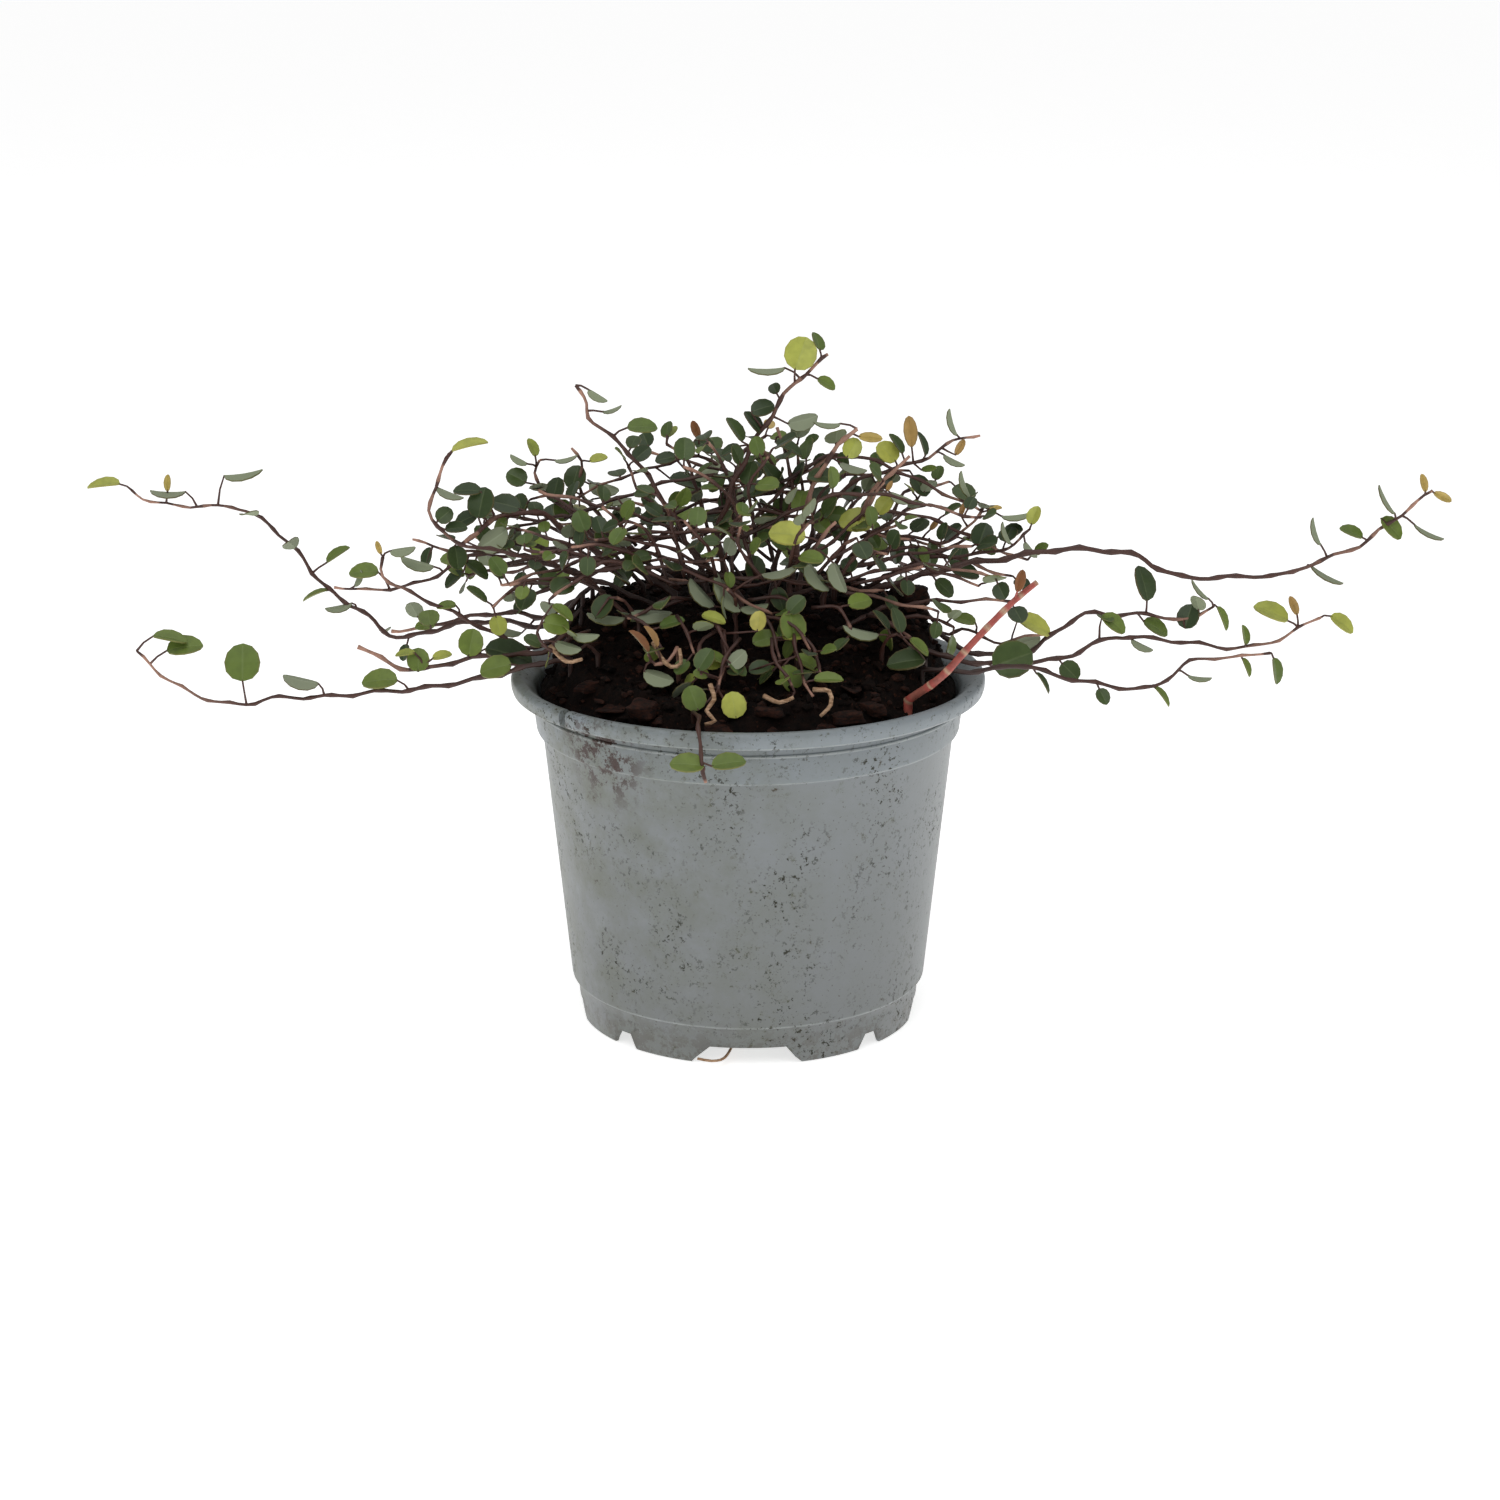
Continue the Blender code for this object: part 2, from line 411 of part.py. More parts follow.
def screw_object(name, profile, sides, collection, material=None):
    """Turns a closed (radius, height) outline about Z."""
    bm = bmesh.new()
    verts = [bm.verts.new((r * MM, 0.0, z * MM)) for r, z in profile]
    for a, b in zip(verts, verts[1:] + verts[:1]):
        if a.co.x + b.co.x > 1e-9:
            bm.edges.new((a, b))
    mesh = bpy.data.meshes.new(name)
    bm.to_mesh(mesh)
    bm.free()
    obj = bpy.data.objects.new(name, mesh)
    collection.objects.link(obj)
    turn = obj.modifiers.new("turn", "SCREW")
    turn.steps = sides
    turn.render_steps = sides
    turn.use_merge_vertices = True
    turn.merge_threshold = 0.00001
    if material:
        mesh.materials.append(material)
    return obj


def wedge_cutter(name, middle, half_bottom, half_top, top, collection):
    """A block through the foot ring whose sides slope, from below the floor to height top."""
    bm = bmesh.new()
    bmesh.ops.create_cube(bm, size=1.0)
    for vert in bm.verts:
        outer = 50.0 if vert.co.x > 0 else 36.0
        upper = vert.co.z > 0
        half = half_top if upper else half_bottom
        angle = math.radians(middle + (half if vert.co.y > 0 else -half))
        vert.co = Vector((outer * math.cos(angle), outer * math.sin(angle), top if upper else -2.0))
    cutter = object_from_bmesh(bm, name, collection)
    hide_helper(cutter)
    return cutter


def cylinder_cutter(name, x, y, low, high, radius, sides, collection):
    bm = bmesh.new()
    place = Matrix.Translation((x, y, (low + high) / 2))
    bmesh.ops.create_cone(bm, cap_ends=True, segments=sides, radius1=radius, radius2=radius, depth=high - low, matrix=place)
    cutter = object_from_bmesh(bm, name, collection)
    hide_helper(cutter)
    return cutter


def make_pot(parts, cutters, material):
    """The nursery pot: curled rim, collar, tapering wall, drainage plate and eight feet."""
    pot = screw_object("nursery_pot", pot_profile(), POT_SIDES, parts, material)
    plate_holes = bpy.data.collections.new("pot_cutters")
    cutters.children.link(plate_holes)
    for quarter in range(4):
        gap = -90.0 + 90.0 * quarter
        wedge_cutter(f"foot_gap_{quarter}", gap, 21.0, 12.5, FOOT_GAP_TOP, plate_holes)
        wedge_cutter(f"foot_notch_{quarter}", gap + 45.0, 6.6, 2.6, NOTCH_TOP, plate_holes)
    for hole in range(DRAIN_HOLES):
        angle = math.radians(360.0 / DRAIN_HOLES * (hole + 0.5))
        x, y = DRAIN_RING * math.cos(angle), DRAIN_RING * math.sin(angle)
        cylinder_cutter(f"drain_{hole}", x, y, 3.0, 7.6, DRAIN_RADIUS, 10, plate_holes)
    cylinder_cutter("drain_centre", 0, 0, 3.0, 7.6, DRAIN_RADIUS, 10, plate_holes)
    bm = bmesh.new()
    turn = Matrix.Rotation(math.radians(SPLIT_ANGLE), 4, "Z")
    place = turn @ Matrix.Translation((60.0, 0.0, 88.0)) @ Matrix.Diagonal((8.6, SPLIT_WIDTH, 8.0, 1.0))
    bmesh.ops.create_cube(bm, size=1.0, matrix=place)
    hide_helper(object_from_bmesh(bm, "rim_split", plate_holes))
    add_boolean(pot, "DIFFERENCE", plate_holes)
    return pot


# ---------------------------------------------------------------- the peat
def smooth(value):
    value = min(1.0, max(0.0, value))
    return value * value * (3.0 - 2.0 * value)


def soil_height(x, y):
    """Height of the peat: a rim-level edge and a root ball that stands highest behind the middle."""
    radius = math.hypot(x, y)
    ball = 7.0 + 12.0 * smooth((y + 34.0) / 44.0)
    shoulder = smooth((52.5 - radius) / 9.0)
    lumps = 0.7 * math.sin(0.31 * x + 0.7) * math.cos(0.27 * y) + 0.5 * math.sin(0.53 * y + 0.41 * x)
    return SOIL_EDGE_HEIGHT + ball * shoulder + lumps * shoulder


def make_soil(parts, cutters, roots, material):
    """A plug of peat that fills the pot, with a planting hole for each shoot."""
    side = [(42.0, PLATE_TOP + SOIL_GAP), (43.0, 8.6), (43.8, 10.8), (44.6, 14.4), (50.6, 75.2), (52.0, 76.9), (52.9, 84.0)]
    rings = [51.0, 48.5, 46.0, 43.0, 38.0, 28.0, 15.0]
    bm = bmesh.new()

    def ring(radius, height):
        points = []
        for step in range(SOIL_SIDES):
            angle = 2 * math.pi * step / SOIL_SIDES
            x, y = radius * math.cos(angle), radius * math.sin(angle)
            points.append(bm.verts.new((x, y, soil_height(x, y) if height is None else height)))
        edges = [bm.edges.new((a, b)) for a, b in zip(points, points[1:] + points[:1])]
        return points, edges

    loops = [ring(r - SOIL_GAP, z) for r, z in side] + [ring(r, None) for r in rings]
    for (_, lower), (_, upper) in zip(loops, loops[1:]):
        bmesh.ops.bridge_loops(bm, edges=lower + upper)
    bm.faces.new(list(reversed(loops[0][0])))
    crown = bm.verts.new((0.0, 0.0, soil_height(0.0, 0.0)))
    last = loops[-1][0]
    for a, b in zip(last, last[1:] + last[:1]):
        bm.faces.new((a, b, crown))
    bmesh.ops.recalc_face_normals(bm, faces=bm.faces)
    bmesh.ops.triangulate(bm, faces=bm.faces)
    soil = object_from_bmesh(bm, "peat_root_ball", parts, material)
    holes = bpy.data.collections.new("planting_holes")
    cutters.children.link(holes)
    for name, (x, y, radius) in roots.items():
        ground = soil_height(x, y)
        cylinder_cutter(f"hole_{name}", x, y, ground - 6.0, ground + 8.0, radius + SOIL_GAP, 8, holes)
    add_boolean(soil, "DIFFERENCE", holes)
    return soil


# ---------------------------------------------------------------- routes of the stems
def placed(across, up, behind):
    """A point of the drawing, carried behind the drawing plane along its sight line."""
    drawn = Vector((across, 0.0, up))
    return SIGHT + (drawn - SIGHT) * (1.0 + behind / -SIGHT.y)


def spline(points, spacing):
    """Catmull-Rom through the points, sampled about every spacing millimetres."""
    ends = [points[0] * 2 - points[1], *points, points[-1] * 2 - points[-2]]
    samples = []
    for p0, p1, p2, p3 in zip(ends, ends[1:], ends[2:], ends[3:]):
        steps = max(1, round((p2 - p1).length / spacing))
        for step in range(steps):
            t = step / steps
            samples.append(0.5 * (2 * p1 + (p2 - p0) * t + (2 * p0 - 5 * p1 + 4 * p2 - p3) * t**2
                                  + (3 * p1 - p0 - 3 * p2 + p3) * t**3))
    samples.append(points[-1])
    return samples


def rooted_route(shoot, spacing=3.0):
    """Sample points of a stem from 5 mm down in the peat to its tip."""
    x, y = shoot["root"]
    ground = soil_height(x, y)
    start = [Vector((x, y, ground - 5.0)), Vector((x, y, ground + 0.5))]
    rise = Vector((x, y, ground + 3.0))
    return start + spline([rise] + [placed(*p) for p in shoot["route"]], spacing)


def keep_clear(routes):
    """Moves each stem along Y, never the first three points, until it clears the stems before it."""
    settled = []
    for name, (points, radii) in routes.items():
        line = np.array([tuple(p) for p in points])
        width = np.array(radii)
        for _ in range(60):
            push = np.zeros(len(line))
            for other, other_width in settled:
                apart = line[:, None, :] - other[None, :, :]
                distance = np.sqrt((apart**2).sum(2))
                nearest = distance.argmin(1)
                need = width + other_width[nearest] + STEM_GAP + 0.4
                short = need - distance[np.arange(len(line)), nearest]
                side = np.sign(apart[np.arange(len(line)), nearest, 1] + 1e-6)
                push += np.where(short > 0, short * side, 0.0)
            push[:3] = 0.0
            if not np.any(push):
                break
            kernel = np.array([0.2, 0.55, 0.85, 1.0, 0.85, 0.55, 0.2])
            line[:, 1] += np.convolve(push, kernel, "same") * 0.5 * (np.arange(len(line)) >= 3)
        settled.append((line, width))
        routes[name] = ([Vector(p) for p in line], radii)
    return routes


def thin_out(points, radii, keep_every):
    """Every so-many-th sample of a route, with its ends."""
    picks = list(range(0, len(points) - 1, keep_every))
    if len(points) - 1 - picks[-1] < keep_every and len(picks) > 3:
        picks = picks[:-1] + [len(points) - 1]
    else:
        picks.append(len(points) - 1)
    picks = sorted(set(picks) | {1, 2})
    return [points[i] for i in picks], [radii[i] for i in picks]


def stem_mesh_object(name, points, radii, collection):
    """A tapering stem: a bevelled poly curve, made a mesh with its caps welded on."""
    curve = bpy.data.curves.new(name, "CURVE")
    curve.dimensions = "3D"
    curve.bevel_depth = MM
    curve.bevel_resolution = 0
    curve.use_fill_caps = True
    line = curve.splines.new("POLY")
    line.points.add(len(points) - 1)
    for point, position, radius in zip(line.points, points, radii):
        point.co = (*(position * MM), 1.0)
        point.radius = radius
    tube = bpy.data.objects.new(name + "_curve", curve)
    bpy.context.scene.collection.objects.link(tube)
    bpy.context.view_layer.update()
    mesh = bpy.data.meshes.new_from_object(tube.evaluated_get(bpy.context.evaluated_depsgraph_get()))
    bm = bmesh.new()
    bm.from_mesh(mesh)
    bmesh.ops.remove_doubles(bm, verts=bm.verts, dist=1e-6)
    bmesh.ops.triangulate(bm, faces=bm.faces)
    bmesh.ops.recalc_face_normals(bm, faces=bm.faces)
    bm.to_mesh(mesh)
    bm.free()
    bpy.data.objects.remove(tube, do_unlink=True)
    obj = bpy.data.objects.new(name, mesh)
    mesh.name = name
    obj.matrix_world = Matrix.Identity(4)
    collection.objects.link(obj)
    return obj


# ---------------------------------------------------------------- leaves
def leaf_axes(heading, length, seen_width, extra_roll):
    """The blade's long axis, its across axis and its face normal, the face turned upward."""
    turn = math.radians(heading)
    along = VIEW_RIGHT * math.cos(turn) + VIEW_UP * math.sin(turn)
    flat = VIEW_AWAY.cross(along).normalized()
    roll = math.acos(min(1.0, seen_width / (LEAF_ASPECT * length)))
    best = None
    for sign in (1, -1):
        across = flat * math.cos(sign * roll + extra_roll) + VIEW_AWAY * math.sin(sign * roll + extra_roll)
        normal = along.cross(across).normalized()
        if normal.dot(VIEW_AWAY) > 0:
            normal = -normal
        if best is None or normal.z > best[2].z:
            best = (along, across.normalized(), normal)
    return best


def leaf_bmesh(anchor, centre, length, axes, grow=0.0):
    """A blade with its stalk, from a four-sided sphere whose rings are pulled to the leaf's shape."""
    along, across, _ = axes
    face = along.cross(across)
    base = centre - along * (length / 2)
    if (base - anchor).length < 1.0:
        base = anchor + along
    lead = (base - anchor).normalized()
    middle = (lead + along).normalized()
    half_width = LEAF_ASPECT * length / 2 + grow
    thick = LEAF_THICKNESS / 2 + grow
    stalk = PETIOLE_WIDTH / 2 + grow
    stations = [
        (anchor - lead * 0.25, lead, 0.0, 0.0), (anchor, lead, stalk * 1.1, stalk * 1.1),
        (base + along * 0.3, middle, stalk, stalk), (base + along * (0.36 * length), along, half_width, thick),
        (base + along * (0.74 * length), along, half_width * 0.72, thick),
        (base + along * (length + grow), along, 0.0, 0.0),
    ]
    bm = bmesh.new()
    bmesh.ops.create_uvsphere(bm, u_segments=4, v_segments=5, radius=1.0)
    heights = sorted({round(v.co.z, 4) for v in bm.verts})
    for vert in bm.verts:
        point, facing, wide, deep = stations[heights.index(round(vert.co.z, 4))]
        bend = along.rotation_difference(facing)
        ring = math.hypot(vert.co.x, vert.co.y)
        u, v = (vert.co.x / ring, vert.co.y / ring) if ring > 1e-4 else (0.0, 0.0)
        vert.co = point + (bend @ across) * (u * wide) + (bend @ face) * (v * deep)
    bmesh.ops.triangulate(bm, faces=bm.faces)
    bmesh.ops.recalc_face_normals(bm, faces=bm.faces)
    if bm.calc_volume(signed=True) < 0.0:
        bmesh.ops.reverse_faces(bm, faces=bm.faces)
    return bm


def tree_of(bm):
    return BVHTree.FromBMesh(bm, epsilon=0.0)


def along_line(points, spacing):
    """Points about every spacing millimetres along a stem's straight pieces, above the peat."""
    samples = []
    for a, b in zip(points[2:], points[3:]):
        steps = max(1, round((b - a).length / spacing))
        samples += [a.lerp(b, step / steps) for step in range(steps)]
    return samples[1:] + [points[-1].lerp(points[-2], 0.1)]


def place_leaf(spec, points, neighbours):
    """The leaf's bmesh where it clears every neighbour, or None."""
    across, up, heading, length, seen_width = spec
    guess = placed(across, up, 0.0)
    turn = math.radians(heading)
    reach = (VIEW_RIGHT * math.cos(turn) + VIEW_UP * math.sin(turn)) * (length / 2)

    def seen(p):
        scale = -SIGHT.y / (p.y - SIGHT.y)
        return SIGHT + (p - SIGHT) * scale

    target = guess - reach * (1.0 + 4.0 / length)
    stem_point = min(points, key=lambda p: (seen(p) - target).length)
    for shift in (0.0, -1.5, 1.5, -3.0, 3.0, -4.5, 4.5, -6.0, 6.0):
        for extra_roll in (0.0, 0.4, -0.4, 0.8, -0.8):
            centre = placed(across, up, stem_point.y + shift)
            axes = leaf_axes(heading, length, seen_width, extra_roll)
            ahead = (centre - stem_point).dot(axes[0]) - length / 2
            centre = centre + axes[0] * max(0.0, 0.8 - ahead)
            trial = leaf_bmesh(stem_point, centre, length, axes, grow=LEAF_GAP)
            tree = tree_of(trial)
            trial.free()
            if not any(tree.overlap(other) for other in neighbours):
                return leaf_bmesh(stem_point, centre, length, axes)
    return None


def tree_of_object(obj):
    """A search tree, in millimetres, of an object as the viewport shows it."""
    bpy.context.view_layer.update()
    evaluated = obj.evaluated_get(bpy.context.evaluated_depsgraph_get())
    bm = bmesh.new()
    bm.from_mesh(evaluated.to_mesh())
    evaluated.to_mesh_clear()
    bmesh.ops.scale(bm, vec=(1 / MM,) * 3, verts=bm.verts)
    tree = tree_of(bm)
    bm.free()
    return tree


def make_shoots(parts, cutters, routes, fixed, material):
    """Every stem, then its leaves one by one, each kept clear of all the other shoots."""
    stems, stem_trees, anchors = {}, {}, {}
    for name, (points, radii) in routes.items():
        few_points, few_radii = thin_out(points, radii, 3)
        stem = stem_mesh_object(name, few_points, few_radii, parts)
        stem.data.materials.append(material)
        stems[name] = stem
        anchors[name] = along_line(few_points, 1.5)
        stem_trees[name] = tree_of_object(stem)
    leaf_trees = []
    dropped = 0
    for name, stem in stems.items():
        blades = bpy.data.collections.new(name + "_leaves")
        cutters.children.link(blades)
        others = fixed + [t for n, t in stem_trees.items() if n != name] + leaf_trees
        own = []
        for number, spec in enumerate(SHOOTS[name]["leaves"]):
            blade = place_leaf(spec, anchors[name], others + own)
            if blade is None:
                dropped += 1
                continue
            own.append(tree_of(blade))
            hide_helper(object_from_bmesh(blade, f"{name}_leaf_{number}", blades))
        leaf_trees += own
        if own:
            add_boolean(stem, "UNION", blades)
    print(f"leaves left out for want of room: {dropped}")


# ---------------------------------------------------------------- loose pieces
def ground_under(x, y, reach):
    return max(soil_height(x + dx, y + dy) for dx in (-reach, 0, reach) for dy in (-reach, 0, reach))


def make_chips(parts, material):
    """Angular bark chips lying on the peat."""
    for number, (x, y, length, width, height, turn) in enumerate(CHIPS):
        bm = bmesh.new()
        bmesh.ops.create_icosphere(bm, subdivisions=1, radius=0.5)
        for corner, vert in enumerate(bm.verts):
            vert.co *= 0.86 + 0.16 * math.sin(2.4 * corner + number)
            vert.co.z = max(vert.co.z, -0.32)
        low = min(v.co.z for v in bm.verts)
        place = Matrix.Translation((x, y, ground_under(x, y, length * 0.4) + SOIL_GAP - low * height))
        spin = Matrix.Rotation(math.radians(turn), 4, "Z")
        bmesh.ops.transform(bm, matrix=place @ spin @ Matrix.Diagonal((length, width, height, 1)), verts=bm.verts)
        object_from_bmesh(bm, f"bark_chip_{number + 1}", parts, material)


def make_dry_leaves(parts, material):
    """Dead leaves that have dropped on the peat, cupped upward."""
    for number, (x, y, length, width, turn) in enumerate(DRY_LEAVES):
        bm = bmesh.new()
        bmesh.ops.create_uvsphere(bm, u_segments=8, v_segments=4, radius=0.5)
        for vert in bm.verts:
            cup = 1.5 * (vert.co.x**2 + vert.co.y**2)
            vert.co.z = vert.co.z * LEAF_THICKNESS * 2 + cup
            vert.co.x *= length
            vert.co.y *= width
        low = min(v.co.z for v in bm.verts)
        place = Matrix.Translation((x, y, ground_under(x, y, length * 0.4) + SOIL_GAP - low))
        spin = Matrix.Rotation(math.radians(turn), 4, "Z")
        bmesh.ops.transform(bm, matrix=place @ spin, verts=bm.verts)
        object_from_bmesh(bm, f"dry_leaf_{number + 1}", parts, material)


def make_stray_root(parts, material):
    """A root that has come out of a drain hole and lies in the front gap between two feet."""
    route = [Vector(p) for p in ((-3, -30, 3.2), (-4, -37, 2.4), (-6, -43.5, 1.8), (-9, -46.2, 2.2), (-12.5, -46.6, 3.0))]
    points = spline(route, 3.0)
    root = stem_mesh_object("stray_root", points, [0.4] * len(points), parts)
    root.data.materials.append(material)


def main():
    clear_scene()
    parts = make_collection("potted_wire_vine")
    cutters = make_collection("cutters")
    grey_plastic = make_material("grey_polypropylene", (0.30, 0.34, 0.36), 0.5)
    peat = make_material("peat", (0.03, 0.018, 0.012), 0.95)
    vine = make_material("vine", (0.09, 0.14, 0.06), 0.5)
    bark = make_material("bark", (0.12, 0.05, 0.03), 0.9)
    straw = make_material("straw", (0.35, 0.22, 0.12), 0.8)

    routes, roots = {}, {}
    for name, shoot in SHOOTS.items():
        thick, thin = (max(0.4, STEM_SLIM * radius) for radius in shoot["radius"])
        points = rooted_route(shoot)
        share = [i / (len(points) - 1) for i in range(len(points))]
        routes[name] = (points, [thick + (thin - thick) * s for s in share])
        roots[name] = (*shoot["root"], thick)
    routes = keep_clear(routes)

    pot = make_pot(parts, cutters, grey_plastic)
    soil = make_soil(parts, cutters, roots, peat)
    make_chips(parts, bark)
    make_dry_leaves(parts, straw)
    loose = [tree_of_object(o) for o in parts.objects]
    make_shoots(parts, cutters, routes, loose, vine)
    make_stray_root(parts, straw)
    for obj in (pot, soil):
        obj.data.shade_smooth()


main()
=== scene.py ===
import math
import random

import bmesh
import bpy
from mathutils import Matrix, Vector, kdtree, noise


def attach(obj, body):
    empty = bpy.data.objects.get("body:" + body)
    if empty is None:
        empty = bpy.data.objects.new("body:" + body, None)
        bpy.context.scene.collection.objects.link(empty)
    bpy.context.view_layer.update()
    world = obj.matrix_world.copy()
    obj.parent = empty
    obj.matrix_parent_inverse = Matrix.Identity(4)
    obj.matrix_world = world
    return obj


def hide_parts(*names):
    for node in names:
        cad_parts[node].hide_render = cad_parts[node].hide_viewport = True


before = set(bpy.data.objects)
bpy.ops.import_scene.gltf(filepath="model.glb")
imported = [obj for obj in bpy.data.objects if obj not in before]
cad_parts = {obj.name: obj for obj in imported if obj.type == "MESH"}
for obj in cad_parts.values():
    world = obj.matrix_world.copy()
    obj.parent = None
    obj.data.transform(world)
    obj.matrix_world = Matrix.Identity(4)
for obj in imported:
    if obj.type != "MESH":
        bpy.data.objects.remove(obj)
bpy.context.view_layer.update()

MM = 0.001
SEED = 11

# ---------------------------------------------------------------- sizes, millimetres
POT_SIDES, PEAT_SIDES = 160, 200
FOOT_GAP_TOP = 4.6
NOTCH_TOP = 3.8
PLATE_BOTTOM, PLATE_TOP = 4.8, 6.0
DRAIN_HOLES, DRAIN_RING, DRAIN_RADIUS = 8, 30.0, 4.0
SPLIT_ANGLE, SPLIT_WIDTH = -138.5, 2.4
# Painted highlights: pale bands along the pot's edges at these heights.
EDGE_HIGHLIGHTS = ((75.5, 0.5), (82.8, 0.45), (10.3, 0.5), (86.1, 0.35))  # heights of pale edges, and their reach
SOIL_EDGE_HEIGHT = 86.0
SOIL_GAP = 0.35

LEAF_THICKNESS = 0.28
ROUND_ASPECT, OVAL_ASPECT, YOUNG_ASPECT = 0.88, 0.76, 0.42  # a blade's width over its length
INTERNODE = 6.5  # between the joints of a stem
STEM_SLIM = 0.66  # a stem between its swollen joints, over the solid that stands for it
# Shoots of this year's growth, and how young their bark is at the root, 0 old to 1 young.
YOUNG_SHOOTS = {
    "tall_left_shoot": 0.5, "top_shoot": 0.35, "pale_pink_shoot": 0.7, "right_pink_shoot": 0.6,
    "upper_right_branch": 0.4, "pink_tip_left": 0.45, "front_dry_fork": 0.8, "far_right_runner": 0.25,
    "low_left_runner": 0.2, "right_level_branch": 0.3, "right_fan_middle": 0.2, "far_left_runner": 0.15,
}
ZIGZAG, SWELLING = 0.9, 1.4  # how far a stem swings at its joints, and how much thicker a joint is
RED_SHOOT, RED_SHOOT_SWELLING, RED_SHOOT_YOUTH = "red_jointed_shoot", 1.12, 0.7
TWIG_RADII = (0.5, 0.34)
CROWN_LEAFINESS, RUNNER_LEAFINESS, TWIG_LEAFINESS, WIRE_LEAFINESS = 0.6, 0.1, 0.85, 0.3
SHADED_TINTS = [0.25, 0.36, 0.5, 0.62]  # the leaves over the peat are fresher
PETIOLE_RADIUS = 0.26
USUAL_LEAF = 7.0
TINT_SPREAD = 0.05
# A leaf's upper side by its tint: dark green, green, fresh green, yellow-green, ochre, brown.
LEAF_COLOURS = [
    (0.0, "#36452a"), (0.25, "#566a33"), (0.5, "#7d8f3d"), (0.72, "#b9bd58"), (0.9, "#c4a566"),
    (1.0, "#8e5f3e"),
]
STUDIO_LIGHT, FLOOR_GLOW = 0.36, 0.62  # the surrounding light, and what the white floor adds to it
LAMPS = {  # place in metres, width of the square lamp, watts
    "key": ((-0.3, -0.8, 1.1), 0.9, 4.2),
    "fill": ((0.9, -0.6, 0.7), 0.9, 1.2),
    "top": ((0.0, 0.2, 1.3), 1.2, 3.6),
}
LENS, LENS_SHIFT = 73.5, 0.0013

# Routes are drawn on the upright plane through the pot's axis, as (across, up, behind). A point
# behind the drawing plane is carried away from SIGHT along its own sight line.
SIGHT = Vector((0.0, -750.0, 290.0))
SIGHT_PITCH = 0.287
VIEW_RIGHT = Vector((1.0, 0.0, 0.0))
VIEW_UP = Vector((0.0, math.sin(SIGHT_PITCH), math.cos(SIGHT_PITCH)))
VIEW_AWAY = Vector((0.0, math.cos(SIGHT_PITCH), -math.sin(SIGHT_PITCH)))

